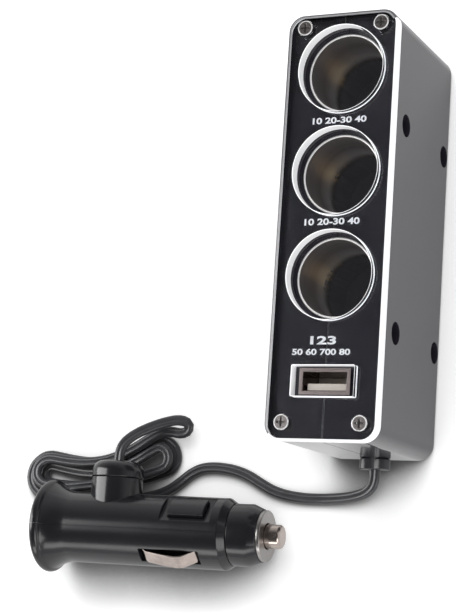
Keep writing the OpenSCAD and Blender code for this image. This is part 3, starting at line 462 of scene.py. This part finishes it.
class Workbench:
    """Ways of making a piece that several sub-assemblies use."""

    @staticmethod
    def clear_selection() -> None:
        """Deselects every object."""
        for thing in bpy.context.view_layer.objects:
            thing.select_set(False)

    @classmethod
    def activate(cls, piece: Piece) -> None:
        """Selects one object alone and makes it active."""
        cls.clear_selection()
        piece.select_set(True)
        bpy.context.view_layer.objects.active = piece

    @classmethod
    @contextmanager
    def editing(cls, piece: Piece, action: Optional[str] = "SELECT") -> Iterator[None]:
        """Opens a piece for editing, and closes it at the end of the with statement.

        Args:
            piece: the piece.
            action: SELECT or DESELECT for all of it, or None to keep what is selected.
        """
        cls.activate(piece)
        bpy.ops.object.mode_set(mode="EDIT")
        if action:
            bpy.ops.mesh.select_all(action=action)
        yield
        bpy.ops.object.mode_set(mode="OBJECT")

    @staticmethod
    def apply(piece: Piece, name: str, kind: str, **values: object) -> None:
        """Adds a modifier to the active piece and applies it.

        Args:
            piece: the piece.
            name: the modifier's name.
            kind: its type.
            values: its settings.
        """
        modifier = piece.modifiers.new(name, kind)
        for key, value in values.items():
            setattr(modifier, key, value)
        bpy.ops.object.modifier_apply(modifier=name)

    @classmethod
    def smooth(cls, piece: Piece, even: bool = False) -> None:
        """Shades a piece smooth, but for its sharper edges.

        Args:
            piece: the piece.
            even: whether large flat faces keep their own normals, so that they look flat.
        """
        cls.activate(piece)
        bpy.ops.object.shade_smooth_by_angle(angle=SMOOTH_ANGLE)
        if even:
            cls.apply(piece, "flat_faces", "WEIGHTED_NORMAL", mode="FACE_AREA", weight=100, keep_sharp=True)

    @classmethod
    def stand_in(cls, node: str, name: str, width: float, finish: Finish, body: Body = Body.UNIT,
                 segments: int = 2, angle: float = 32.0,
                 sharp: Optional[Callable[[Vector], bool]] = None) -> Piece:
        """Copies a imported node, merges it, rounds its sharp edges and dresses it.

        Args:
            node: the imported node, which the piece replaces.
            name: the new piece's name.
            width: the bevel's width in millimetres.
            finish: its finish.
            body: what it moves with.
            segments: how many strips round an edge.
            angle: edges sharper than this many degrees are rounded.
            sharp: tells of a point whether an edge with both ends there stays sharp.

        Returns:
            The new piece.
        """
        piece = bpy.data.objects.new(name, frame["nodes"][node].data.copy())
        bpy.context.collection.objects.link(piece)
        with cls.editing(piece):
            bpy.ops.mesh.remove_doubles(threshold=MERGE_REACH)
            bpy.ops.mesh.dissolve_limited(angle_limit=FLAT_ANGLE)
        if piece.data.has_custom_normals:
            bpy.ops.mesh.customdata_custom_splitnormals_clear()
        with cls.editing(piece, "DESELECT"):
            bpy.ops.mesh.select_mode(type="EDGE")
            bpy.ops.mesh.edges_select_sharp(sharpness=math.radians(angle))
        mesh, label = piece.data, "bevel_weight_edge"
        weights = mesh.attributes.get(label) or mesh.attributes.new(label, "FLOAT", "EDGE")
        for edge in mesh.edges:
            stays = sharp is not None and all(sharp(mesh.vertices[v].co) for v in edge.vertices)
            weights.data[edge.index].value = 1.0 if edge.select and not stays else 0.0
        cls.apply(piece, "rounding", "BEVEL", width=width * MM, segments=segments, limit_method="WEIGHT",
                  use_clamp_overlap=False, miter_outer="MITER_ARC")
        cls.smooth(piece, True)
        return cls.dress(piece, finish, body, node)

    @staticmethod
    def dress(piece: Piece, finish: Finish, body: Body, *nodes: str) -> Piece:
        """Gives a piece its finish and body, and hides the nodes that it stands for.

        Args:
            piece: the piece.
            finish: its finish.
            body: what it moves with.
            nodes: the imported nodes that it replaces.

        Returns:
            The piece.
        """
        piece.data.materials.clear()
        piece.data.materials.append(finish.material())
        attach(piece, body.value)
        if nodes:
            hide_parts(*nodes)
        log.info("made %s", piece.name)
        return piece

    @staticmethod
    def paint(piece: Piece, finish: Finish, chosen: Callable[[Face], bool]) -> None:
        """Gives the chosen faces a finish of their own.

        Args:
            piece: the piece, which has its main finish.
            finish: the finish of the chosen faces.
            chosen: tells of a face whether it has that finish.
        """
        piece.data.materials.append(finish.material())
        for face in piece.data.polygons:
            if chosen(face):
                face.material_index = len(piece.data.materials) - 1

    @staticmethod
    def repaint(node: str, finish: Finish) -> Piece:
        """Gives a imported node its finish.

        Args:
            node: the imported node.
            finish: its finish.

        Returns:
            The node's object.
        """
        thing = frame["nodes"][node]
        if not thing.material_slots:
            thing.data.materials.append(None)
        for place in thing.material_slots:
            place.material = finish.material()
        log.info("dressed %s", node)
        return thing


@dataclass(frozen=True)
class Lamp:
    """A soft rectangular lamp that points at a target."""

    name: str
    place: Point
    target: Point
    width: float
    height: float
    power: float
    glare: bool = True
    wash: bool = True

    def build(self) -> None:
        """Adds the lamp."""
        data = bpy.data.lights.new(self.name, "AREA")
        data.shape = "RECTANGLE"
        data.size, data.size_y = self.width, self.height
        data.energy = self.power
        lamp = bpy.data.objects.new(self.name, data)
        bpy.context.collection.objects.link(lamp)
        lamp.visible_glossy = self.glare
        lamp.visible_diffuse = self.wash
        lamp.location = self.place
        lamp.rotation_mode = "QUATERNION"
        lamp.rotation_quaternion = (Vector(self.target) - Vector(self.place)).to_track_quat("-Z", "Y")


@dataclass
class Studio:
    """The camera, the pale floor, the lamps and the world."""

    camera_place: Point = (0.17567, -0.10470, 0.47824)
    camera_turn: Point = (11.51608, 24.72205, 4.22806)
    lens: float = 103.441
    sensor: float = 36.0
    clip: Tuple[float, float] = (0.01, 20.0)
    floor_half: float = 4.0
    floor_z: float = -0.00002
    floor_glow: float = 0.16
    floor_white: float = 0.34
    white_reach: float = 0.03
    paper: Colour = (0.86, 0.86, 0.86)
    shadow_side: Point = (0.35, 0.75, 0.55)
    shadow_reach: float = 0.022
    shadow_deep: float = 0.3
    shadow_clear: float = 0.8
    shadow_level: float = 0.08
    world_level: float = 0.6
    sky_low: float = 0.2
    sky_high: float = 0.8
    sky_bright: float = 0.9
    sky_dim: float = 0.1
    lamps: Sequence[Lamp] = (
        Lamp("key_over_top", (-0.1, 1.6, 1.6), (0.0, 0.0, 0.0), 2.6, 1.4, 34.0, False),
        Lamp("fill_front", (-0.1, -1.3, 0.6), (-0.04, -0.04, 0.0), 1.4, 0.35, 5.0),
        Lamp("fill_right", (1.1, -0.9, 0.8), (0.1, -0.1, 0.0), 0.8, 0.8, 6.0),
        Lamp("sheen_left", (-0.85, 0.0, 0.6), (-0.08, -0.07, 0.01), 0.5, 1.0, 10.0, wash=False))

    def build_camera(self) -> None:
        """Adds the camera at the photograph's viewing angle."""
        data = bpy.data.cameras.new("photo_camera")
        data.lens = self.lens
        data.sensor_width = self.sensor
        data.sensor_fit = "AUTO"
        data.clip_start, data.clip_end = self.clip
        camera = bpy.data.objects.new("photo_camera", data)
        bpy.context.collection.objects.link(camera)
        camera.location = self.camera_place
        camera.rotation_euler = [math.radians(a) for a in self.camera_turn]
        bpy.context.scene.camera = camera

    def build_floor(self) -> None:
        """Adds the pale floor, which glows to the eye and in mirrors, and keeps the object's shadow, with a
        painted contact shadow in its colour near each thing.
        """
        Workbench.clear_selection()
        bpy.ops.mesh.primitive_plane_add(size=2 * self.floor_half, location=(0.0, 0.0, self.floor_z))
        floor = bpy.context.object
        floor.name = "studio_floor"
        bpy.ops.object.transform_apply(location=True, rotation=True, scale=True)
        made = bpy.data.materials.new("studio_floor_white")
        made.use_nodes = True
        nodes = NodeTree(made.node_tree)
        rays = nodes.add("LightPath").outputs
        eye = rays["Is Camera Ray"]
        # Painted shadow: occlusion, leaning to the far side, darkens the floor's colour and glow to the eye
        # near each thing.
        lean = nodes.add("CombineXYZ", **dict(zip("XYZ", self.shadow_side))).outputs[0]
        shadow_ao = nodes.add("AmbientOcclusion", samples=32, Distance=self.shadow_reach, Normal=lean).outputs["AO"]
        ramp = nodes.add(
            "MapRange", interpolation_type="SMOOTHSTEP", Value=shadow_ao, From_Min=self.shadow_deep,
            From_Max=self.shadow_clear, To_Min=self.shadow_level).outputs[0]
        painted_shadow = nodes.mix(eye, 1.0, ramp, colours=False)
        # Painted shade: the extra glow fades where nearby things occlude the floor.
        clear = nodes.add("AmbientOcclusion", samples=8, Distance=self.white_reach).outputs["AO"]
        white = nodes.math("MULTIPLY", nodes.math("MULTIPLY", clear, eye), self.floor_white)
        known = nodes.math("ADD", eye, rays["Is Glossy Ray"])
        known = nodes.math("ADD", known, rays["Is Transmission Ray"], clamp=True)
        level = nodes.math("ADD", nodes.math("MULTIPLY", known, self.floor_glow), white)
        paper = nodes.add("BsdfDiffuse", Color=nodes.mix(painted_shadow, (0.0, 0.0, 0.0), self.paper))
        glow = nodes.add("Emission", Strength=nodes.math("MULTIPLY", level, painted_shadow))
        both = nodes.add("AddShader")
        nodes.put(both.inputs[0], paper.outputs[0])
        nodes.put(both.inputs[1], glow.outputs[0])
        nodes.add("OutputMaterial", Surface=both.outputs[0])
        floor.data.materials.append(made)

    def build_world(self) -> None:
        """Sets the world: white to the eye, softer overhead in reflections, plain grey as a light."""
        world = bpy.context.scene.world or bpy.data.worlds.new("studio_world")
        bpy.context.scene.world = world
        world.use_nodes = True
        nodes = NodeTree(world.node_tree)
        rays = nodes.add("LightPath").outputs
        height = nodes.add("SeparateXYZ", Vector=nodes.add("TexCoord").outputs["Generated"]).outputs["Z"]
        sky = nodes.add(
            "MapRange", Value=height, From_Min=self.sky_low, From_Max=self.sky_high, To_Min=self.sky_bright,
            To_Max=self.sky_dim).outputs[0]
        mirrored = nodes.math("ADD", rays["Is Glossy Ray"], rays["Is Transmission Ray"], clamp=True)
        level = nodes.mix(mirrored, self.world_level, sky, colours=False)
        back = nodes.add("Background", Strength=nodes.mix(rays["Is Camera Ray"], level, 1.0, colours=False))
        nodes.add("OutputWorld", Surface=back.outputs[0])

    def build(self) -> None:
        """Builds the whole studio but the camera."""
        bpy.context.scene.view_settings.view_transform = "Standard"
        self.build_floor()
        self.build_world()
        for lamp in self.lamps:
            lamp.build()
        log.info("made the studio")


@dataclass
class FlatCord:
    """The flat twin cord, in millimetres: the lead, the folded hank and the tail into the plug's neck."""

    name: str = "flat_twin_cord"
    width: float = 3.2
    thickness: float = 2.0
    gap: float = 0.45
    lift: float = 0.1
    layer_slack: float = 0.05
    exit: Point = (0.0, -62.2, 5.0)
    end: Point = (-78.334652, -62.6, 12.610991)
    place: Tuple[float, float] = (-88.0, -66.0)
    turn: float = 9.0
    bend_r: float = 62.0
    run: float = 19.5
    half_w: float = 6.0
    waist: float = 1.2
    widen: float = 0.12
    loops: float = 2.25
    start: float = 0.5
    climb_rate: float = 4.0
    rings: int = 24
    lead: Sequence[Point] = (
        (0, -64.6, 4.9), (-0.7, -66.8, 4.4), (-2.6, -68.5, 3.7), (-5.4, -69.5, 3), (-9, -70.2, 2.2),
        (-13.4, -70.6, 1.5))
    lead_on_floor: Sequence[Tuple[float, float]] = (
        (-18, -70.8), (-23, -70.7), (-28, -70.1), (-32.5, -68.9), (-36.5, -67), (-40.5, -64.9), (-44.5, -63.5),
        (-48.5, -62.8), (-52.5, -62.6), (-56.3, -63.1), (-59.7, -64.7), (-62.7, -67), (-66, -69.3),
        (-70, -71.1), (-74.4, -72.2), (-79.3, -73), (-84.2, -73.4), (-89.1, -73.7), (-94, -73.9),
        (-98.9, -73.9), (-103.8, -73.8), (-108.5, -73.3), (-111.7, -72.2), (-113.9, -70.3), (-115, -67.9),
        (-115, -65.5), (-114.1, -63.4), (-112.5, -61.8), (-110.6, -60.7), (-108.5, -60.4))
    tail: Sequence[Point] = (
        (-69.3, -52.7, 3.6), (-66.1, -52.4, 3.5), (-63.3, -52.8, 3.4), (-61.2, -52.3, 3.3), (-60.2, -50.8, 3.8),
        (-61.1, -49.4, 4.5), (-63.9, -49.1, 5.2), (-67.5, -50.1, 6.5), (-71.1, -51.8, 8.3), (-74.5, -54, 10.2),
        (-77, -56.6, 11.9), (-78.2, -59.4, 12.5))
    span_steps: int = 12
    step: float = 1.1
    lobe_r: float = 0.93
    lobe_at: float = 0.67
    lobe_sides: int = 10
    end_way: Point = (0.0, -1.0, 0.0)
    grommet_round: float = 0.3

    def __post_init__(self) -> None:
        """Works out how high the middle line is where the cord lies on the floor."""
        self.floor = self.thickness / 2 + self.lift

    def hank_point(self, t: float) -> Point:
        """Where the hank's middle line is after so many loops.

        Args:
            t: loops from the hank's start.

        Returns:
            The point in millimetres.
        """
        layer = self.thickness + self.gap + self.layer_slack * self.thickness
        climb = min(max((t - self.loops / 2) * self.climb_rate + 0.5, 0.0), 1.0)
        z = self.floor + layer * climb * climb * (3 - 2 * climb)
        u = (t + self.start) % 1
        r = self.half_w - (self.width + self.gap) * min(t, self.loops - t)
        s = (u % 0.5) * 4
        sign = -1 if u < 0.5 else 1
        if s <= 1:
            x = self.run * (1 - 2 * s)
            draw = self.waist * (1 - (x / self.run) ** 2) ** 2
            x, y = -sign * x, sign * (r - draw)
        else:
            a = math.pi * (s - 1)
            x, y = sign * (self.run + r * math.sin(a)), sign * r * math.cos(a)
        y *= 1 + self.widen * x / (self.run + self.half_w)
        a, b = x / self.bend_r, math.radians(self.turn)
        bx, by = (self.bend_r - y) * math.sin(a), self.bend_r - (self.bend_r - y) * math.cos(a)
        return (self.place[0] + bx * math.cos(b) - by * math.sin(b),
                self.place[1] + bx * math.sin(b) + by * math.cos(b), z)

    def route(self) -> List[Vector]:
        """The cord's middle line from the case to the plug, in millimetres."""
        steps = round(self.loops * self.rings)
        points = [self.exit, *self.lead, *[(x, y, self.floor) for x, y in self.lead_on_floor],
                  *[self.hank_point(i / self.rings) for i in range(steps + 1)], *self.tail, self.end]
        return [Vector(p) for p in points]

    def smooth_route(self) -> List[Vector]:
        """The route as one smooth curve of close, even points."""
        p = self.route()
        dense: List[Vector] = []
        for i in range(len(p) - 1):
            a, b, c, d = p[max(i - 1, 0)], p[i], p[i + 1], p[min(i + 2, len(p) - 1)]
            for k in range(self.span_steps):
                t = k / self.span_steps
                dense.append(0.5 * (2 * b + (c - a) * t + (2 * a - 5 * b + 4 * c - d) * t * t
                                    + (3 * b - a - 3 * c + d) * t ** 3))
        dense.append(p[-1])
        even, along, due = [dense[0]], 0.0, self.step
        for a, b in zip(dense, dense[1:]):
            gone = (b - a).length
            while gone and along + gone >= due:
                even.append(a + (b - a) * ((due - along) / gone))
                due += self.step
            along += gone
        if (even[-1] - dense[-1]).length < self.step / 2:
            even.pop()
        even.append(dense[-1])
        return even

    def section(self) -> List[Tuple[float, float]]:
        """The two round cores side by side, as one outline in millimetres."""
        turn = math.acos(-self.lobe_at / self.lobe_r)
        half = [(self.lobe_at + self.lobe_r * math.cos(a), self.lobe_r * math.sin(a))
                for a in [turn - 2 * turn * k / self.lobe_sides for k in range(self.lobe_sides + 1)]]
        return half + [(-x, -y) for x, y in half]

    def build(self) -> Piece:
        """Sweeps the section along the route and dresses the cord.

        Returns:
            The cord.
        """
        line, outline = self.smooth_route(), self.section()
        points: List[Point] = []
        n, m = len(line), len(outline)
        for i, at in enumerate(line):
            along = (line[min(i + 1, n - 1)] - line[max(i - 1, 0)]).normalized()
            if i == 0 or i == n - 1:
                along = Vector(self.end_way)
            across = Vector(UP).cross(along).normalized()
            up = along.cross(across)
            points += [tuple((at + across * x + up * y) * MM) for x, y in outline]
        faces = [(i * m + k, i * m + (k + 1) % m, (i + 1) * m + (k + 1) % m, (i + 1) * m + k)
                 for i in range(n - 1) for k in range(m)]
        faces += [tuple(reversed(range(m))), tuple(range((n - 1) * m, n * m))]
        mesh = bpy.data.meshes.new(self.name)
        mesh.from_pydata(points, [], faces)
        cord = bpy.data.objects.new(self.name, mesh)
        bpy.context.collection.objects.link(cord)
        with Workbench.editing(cord):
            bpy.ops.mesh.normals_make_consistent(inside=False)
        Workbench.smooth(cord)
        return Workbench.dress(cord, Finishes.CORD, Body.UNIT, "cord_lead", "cord_hank", "cord_tail")

    def build_grommet(self) -> Piece:
        """Builds and dresses the strain relief in the case's low end."""
        return Workbench.stand_in(
            "cord_grommet", "cord_strain_relief", self.grommet_round, Finishes.CORD, segments=3)

    def declare(self) -> None:
        line = self.smooth_route()


@dataclass
class Case:
    """The two half shells, the clear plate, their screws and the printed marks, in millimetres."""

    front: float = 44.9
    plate_t: float = 3.4
    plate_gap: float = 0.03
    half_w: float = 16.0
    half_l: float = 59.0
    corner: float = 4.6
    seam_half: float = 0.3
    seam_deep: float = 0.6
    seam_lean: float = 0.15
    ledge_deep: float = 3.5
    ledge_half: float = 0.3
    shell_round: float = 0.14
    plate_round: float = 0.2
    screw_round: float = 0.09
    rim_chamfer: float = 1.5
    rim_strips: int = 6
    rim_form: float = 0.8
    rim_band: float = 1.6
    edge_band: float = 0.7
    shade_band: float = 0.65
    glint_band: float = 1.1
    wall_lean: float = 0.25
    flat_lean: float = 0.97
    level_share: float = 0.0003
    near_share: float = 0.6
    lit_share: float = 0.35
    right_share: float = 0.5
    screws: Rings = Rings()
    screw_reach: float = 2.6
    near: float = 0.1
    ink_swell: float = 0.032
    ink_thick: float = 0.002
    ink_lift: float = 0.014
    marks: Sequence[Tuple[str, float, float, float, float]] = (
        ("10 20-30 40", -0.5, 28.9, 15.7, 1.8), ("10 20-30 40", -1.0, 0.6, 16.0, 1.85),
        ("123", -1.6, -31.9, 7.4, 2.3), ("50 60 700 80", -1.7, -35.0, 16.7, 1.75))

    def rim_gap(self, point: Vector) -> float:
        """How far a point in metres is inside the plate's outline, in millimetres."""
        x = abs(point.x) / MM - self.half_w + self.corner
        y = abs(point.y) / MM - self.half_l + self.corner
        if x > 0.0 and y > 0.0:
            return self.corner - math.hypot(x, y)
        return self.corner - max(x, y)

    def at_screw(self, place: Vector) -> bool:
        """Whether a point is in or at one of the plate's four screw holes."""
        across = abs(place.x) - self.screws.half_x * MM
        along = abs(place.y - self.screws.mid_y * MM) - self.screws.half_y * MM
        return math.hypot(across, along) < self.screw_reach * MM

    def on_rim(self, point: Vector) -> bool:
        """Whether a point is on the plate's front, at its outer edge."""
        return point.z > (self.front + self.plate_t - self.near) * MM and self.rim_gap(point) < self.near

    def shaded(self, face: Face) -> bool:
        """Whether a face of the plate's rim looks to the far end or the left, where the light misses it and
        painted shade goes.
        """
        way = face.normal.normalized()
        flat = math.hypot(way.x, way.y)
        return (self.rim_gap(face.center) < self.rim_band and flat > self.level_share
                and way.y > -self.near_share * flat
                and max(way.y, -way.x) > self.lit_share * flat)

    def build_shells(self) -> None:
        """Rounds and dresses the half shells, whose seam edges on the front are painted lighter as a highlight.
        """
        low, ledge = (self.front - self.seam_deep) * MM, (self.front - self.ledge_deep) * MM
        for node in ("left_shell", "right_shell"):
            piece = Workbench.stand_in(
                node, f"{node}_moulding", self.shell_round, Finishes.CASE,
                sharp=lambda point: abs(point.z - ledge) < self.ledge_half * MM)
            # Painted highlight on the seam's front bevels.
            Workbench.paint(piece, Finishes.SEAM_GLINT, lambda face: (
                abs(face.center.x) < self.seam_half * MM and face.center.z > low
                and self.seam_lean < abs(face.normal.x) < self.flat_lean))

    def build_plate(self) -> None:
        """Chamfers the clear plate's rim, rounds its other edges and lifts its back off the case."""
        plate = Workbench.stand_in(
            "front_plate", "clear_front_plate", self.plate_round, Finishes.PLATE, angle=40.0, sharp=self.on_rim)
        mesh = plate.data
        for part in (mesh.vertices, mesh.edges, mesh.polygons):
            for item in part:
                item.select = False
        for edge in mesh.edges:
            if all(self.on_rim(mesh.vertices[v].co) for v in edge.vertices):
                edge.select = True
                for v in edge.vertices:
                    mesh.vertices[v].select = True
        with Workbench.editing(plate, None):
            bpy.ops.mesh.select_mode(type="EDGE")
            bpy.ops.mesh.bevel(
                offset=self.rim_chamfer * MM, offset_type="OFFSET", segments=self.rim_strips,
                profile=self.rim_form)
            bpy.ops.mesh.select_all(action="DESELECT")
        for vertex in mesh.vertices:
            vertex.select = vertex.co.z < (self.front + self.near) * MM
        with Workbench.editing(plate, None):
            bpy.ops.mesh.select_mode(type="VERT")
            bpy.ops.transform.translate(value=(0.0, 0.0, self.plate_gap * MM))
        Workbench.smooth(plate, True)
        self.paint_plate(plate)

    def paint_plate(self, plate: Piece) -> None:
        """Paints the plate's cut edges by where light falls: a glowing white on the lit sides and hole walls,
        painted shade on the far end and left, and thin painted highlight lines.

        Args:
            plate: the clear plate.
        """

        def within(face: Face, gap: float) -> bool:
            """Whether a face is this close to the outer edge."""
            return self.rim_gap(face.center) < gap

        wall, level = self.wall_lean, self.flat_lean
        # Painted light: rim faces and walls that look right or near get the glowing white edge.
        Workbench.paint(plate, Finishes.PLATE_LIT_EDGE, lambda face: (
            within(face, self.edge_band) and face.normal.z > -wall) or (
            abs(face.normal.z) < wall and face.normal.x > self.right_share * face.normal.y))
        # Painted shade on the rim faces away from the light, with a painted highlight line inside it.
        Workbench.paint(plate, Finishes.PLATE_SHADE, lambda face: (
            within(face, self.shade_band) and self.shaded(face)))
        Workbench.paint(plate, Finishes.PLATE_GLINT, lambda face: (
            within(face, self.glint_band) and not within(face, self.shade_band) and self.shaded(face)))
        # Painted highlight lines on the back's bevels and round the holes' mouths.
        Workbench.paint(plate, Finishes.PLATE_BRIGHT_LINE, lambda face: -level < face.normal.z <= -wall or (
            wall < face.normal.z < level and not within(face, self.rim_band)
            and not self.at_screw(face.center)))

    def build_screws(self) -> None:
        """Rounds and dresses the two kinds of screws."""
        for node, finish in (("plate_screws", Finishes.PLATE_SCREW), ("shell_screws", Finishes.SCREW)):
            Workbench.stand_in(node, f"{node}_nickel", self.screw_round, finish)

    def build_marks(self) -> None:
        """Prints plain numbers on the case's front, under the plate."""
        for i, (words, x, y, width, height) in enumerate(self.marks):
            Workbench.clear_selection()
            bpy.ops.object.text_add(location=(0.0, 0.0, 0.0))
            mark = bpy.context.object
            mark.name = f"printed_numbers_{i + 1}"
            mark.data.body = words
            mark.data.align_x, mark.data.align_y = "CENTER", "CENTER"
            mark.data.offset = self.ink_swell
            mark.data.extrude = self.ink_thick
            bpy.context.view_layer.update()
            wide, high = width * MM / mark.dimensions.x, height * MM / mark.dimensions.y
            Workbench.activate(mark)
            bpy.ops.object.convert(target="MESH")
            mark = bpy.context.object
            mark.scale = (wide, high, high)
            mark.location = (x * MM, y * MM, (self.front + self.ink_lift) * MM)
            bpy.ops.object.transform_apply(location=True, rotation=True, scale=True)
            Workbench.dress(mark, Finishes.MARK, Body.UNIT)

    def build(self) -> None:
        """Builds the case."""
        self.build_shells()
        self.build_plate()
        self.build_screws()
        self.build_marks()


@dataclass
class Socket:
    """One accessory socket, in millimetres: its rolled sleeve, cup, centre contact and spring."""

    number: int
    body: Body
    first_y: float = 43.2
    pitch: float = 28.7
    sleeve_round: float = 0.27
    cup_round: float = 0.1
    dome_round: float = 0.25
    high: float = 43.0
    rim_deep: float = 0.2
    lining_low: float = 20.5
    bore_least: float = 5.0
    spring_low: float = 7.7
    spring_high: float = 10.9
    spring_r: float = 2.4
    wire: float = 0.5
    wire_sides: int = 10
    turns: int = 3
    turn_steps: int = 28
    press: float = 1.5

    def __post_init__(self) -> None:
        """Works out where the socket's middle is along the case, in metres."""
        self.y = (self.first_y - self.pitch * (self.number - 1)) * MM

    def build(self) -> None:
        """Builds and dresses the socket's pieces."""
        n = self.number
        sleeve = Workbench.stand_in(
            f"socket_sleeve_{n}", f"sleeve_lining_{n}", self.sleeve_round, Finishes.SLEEVE, segments=5,
            angle=40.0)
        # Painted highlight on the sleeve's rim.
        Workbench.paint(sleeve, Finishes.RIM_GLINT, lambda face: face.center.z > (self.high - self.rim_deep) * MM)
        cup = Workbench.stand_in(f"socket_cup_{n}", f"insulating_cup_{n}", self.cup_round, Finishes.CUP)
        with Workbench.editing(cup):
            bpy.ops.mesh.bisect(plane_co=(0.0, 0.0, self.lining_low * MM), plane_no=UP)
            bpy.ops.mesh.select_all(action="DESELECT")
        # Painted highlight and shade on the cup's bore above lining_low.
        Workbench.paint(cup, Finishes.LOW_END_GLINT, self.lines_bore)
        Workbench.stand_in(
            f"centre_contact_{n}", f"domed_contact_{n}", self.dome_round, Finishes.BRASS, self.body, 3, 30.0)
        self.build_spring()

    def lines_bore(self, face: Face) -> bool:
        """Whether a face of the cup looks inwards, high enough to pass for the sleeve's low end."""
        outwards = face.center.x * face.normal.x + (face.center.y - self.y) * face.normal.y
        return face.center.z > self.lining_low * MM and outwards < -self.bore_least * MM

    def build_spring(self) -> None:
        """Winds the centre contact's coil spring, with closed ends."""
        low, high, wire = self.spring_low * MM, self.spring_high * MM, self.wire * MM
        Workbench.clear_selection()
        bpy.ops.mesh.primitive_circle_add(
            vertices=self.wire_sides, radius=wire / 2, fill_type="NOTHING",
            location=(self.spring_r * MM, 0.0, low + wire / 2), rotation=(math.pi / 2, 0.0, 0.0))
        spring = bpy.context.object
        spring.name = f"contact_coil_{self.number}"
        bpy.ops.object.transform_apply(location=True, rotation=True, scale=True)
        Workbench.apply(
            spring, "winding", "SCREW", axis="Z", iterations=self.turns, steps=self.turn_steps,
            render_steps=self.turn_steps, screw_offset=(high - low - wire) / self.turns)
        with Workbench.editing(spring):
            bpy.ops.mesh.remove_doubles(threshold=MERGE_REACH)
            bpy.ops.mesh.select_all(action="DESELECT")
            bpy.ops.mesh.select_mode(type="VERT")
            bpy.ops.mesh.select_non_manifold()
            bpy.ops.mesh.edge_face_add()
            bpy.ops.mesh.select_all(action="SELECT")
            bpy.ops.mesh.fill_holes(sides=0)
            bpy.ops.mesh.normals_make_consistent(inside=False)
            bpy.ops.transform.translate(value=(0.0, self.y, 0.0))
        Workbench.smooth(spring)
        Workbench.dress(spring, Finishes.SPRING, Body.UNIT, f"contact_spring_{self.number}")
        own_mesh(spring)


@dataclass
class Port:
    """The charging port and what is behind it, in millimetres."""

    lip_low: float = 46.1
    pieces: Sequence[Tuple[str, str, float, Finish]] = (
        ("port_shell", "port_tin_shell", 0.12, Finishes.PORT),
        ("port_tongue", "port_cream_tongue", 0.15, Finishes.TONGUE),
        ("port_contacts", "port_gold_strips", 0.05, Finishes.GOLD))
    hidden: Sequence[Tuple[str, Finish]] = (
        ("circuit_board", Finishes.BOARD), ("board_inductor", Finishes.FERRITE),
        ("board_capacitor", Finishes.SLEEVING), ("board_chip", Finishes.CHIP), ("positive_bus", Finishes.BRASS),
        ("negative_bus", Finishes.BRASS), ("positive_wire", Finishes.RED_WIRE),
        ("negative_wire", Finishes.BLACK_WIRE))

    def build(self) -> None:
        """Builds and dresses the port, its tongue and contacts, and repaints the inside."""
        for node, name, width, finish in self.pieces:
            piece = Workbench.stand_in(node, name, width, finish)
            if finish is Finishes.PORT:
                # Painted highlight on the port frame's lip.
                Workbench.paint(piece, Finishes.PORT_LIP_GLINT, lambda face: face.center.z > self.lip_low * MM)
        for node, finish in self.hidden:
            Workbench.repaint(node, finish)


@dataclass
class Plug:
    """The accessory plug with its flange, side neck, cap, tip, contacts and pads, in millimetres."""

    pieces: Sequence[Tuple[str, str, float, int, Finish, Body]] = (
        ("plug_shell_front", "barrel_half_front", 0.16, 2, Finishes.PLUG, Body.UNIT),
        ("plug_shell_back", "barrel_half_back", 0.16, 2, Finishes.PLUG, Body.UNIT),
        ("plug_neck_cap", "neck_end_cap", 0.35, 3, Finishes.PLUG, Body.UNIT),
        ("plug_nose_cap", "nose_screw_cap", 0.25, 3, Finishes.PLUG, Body.NOSE_CAP),
        ("plug_end_ring", "nose_end_ring", 0.2, 3, Finishes.RING, Body.NOSE_CAP),
        ("plug_tip", "tip_pin", 0.12, 2, Finishes.NICKEL, Body.TIP),
        ("side_contact_1", "side_leaf_1", 0.1, 2, Finishes.NICKEL, Body.SIDE_CONTACT_1),
        ("side_contact_2", "side_leaf_2", 0.1, 2, Finishes.NICKEL, Body.SIDE_CONTACT_2),
        ("grip_pad_1", "grip_button_1", 0.25, 3, Finishes.PLUG, Body.GRIP_PAD_1),
        ("grip_pad_2", "grip_button_2", 0.25, 3, Finishes.PLUG, Body.GRIP_PAD_2))
    hidden: Sequence[Tuple[str, Finish]] = (
        ("plug_terminal", Finishes.BRASS), ("fuse_glass", Finishes.FUSE_GLASS), ("fuse_caps", Finishes.NICKEL))
    seam_y: float = -82.6
    seam_half: float = 0.1
    wire_round: float = 0.05
    nose_way: Point = (0.998277, 0.0, -0.058671)
    tip_give: float = 3.0

    def build(self) -> List[Piece]:
        """Builds and dresses the plug.

        Returns:
            Every piece of the plug.
        """
        made = []
        for node, name, width, segments, finish, body in self.pieces:
            made.append(Workbench.stand_in(
                node, name, width, finish, body, segments,
                sharp=lambda point: abs(point.y - self.seam_y * MM) < self.seam_half * MM))
        made.append(self.build_spring())
        return made + [Workbench.repaint(node, finish) for node, finish in self.hidden]

    def build_spring(self) -> Piece:
        """Builds the tip's return spring.

        Returns:
            The spring.
        """
        spring = Workbench.stand_in(
            "plug_spring", "tip_return_coil", self.wire_round, Finishes.SPRING, segments=1, angle=60.0)
        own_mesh(spring)
        return spring


def main() -> None:
    """Builds the splitter's looks and its studio."""
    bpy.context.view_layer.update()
    studio = Studio()
    studio.build_camera()
    flat_cord = FlatCord()
    cord = flat_cord.build()
    grommet = flat_cord.build_grommet()
    plug = Plug().build()
    flat_cord.declare()
    Case().build()
    for number, body in enumerate((Body.CENTRE_CONTACT_1, Body.CENTRE_CONTACT_2, Body.CENTRE_CONTACT_3)):
        Socket(number + 1, body).build()
    Port().build()
    studio.build()


if __name__ == "__main__":
    main()
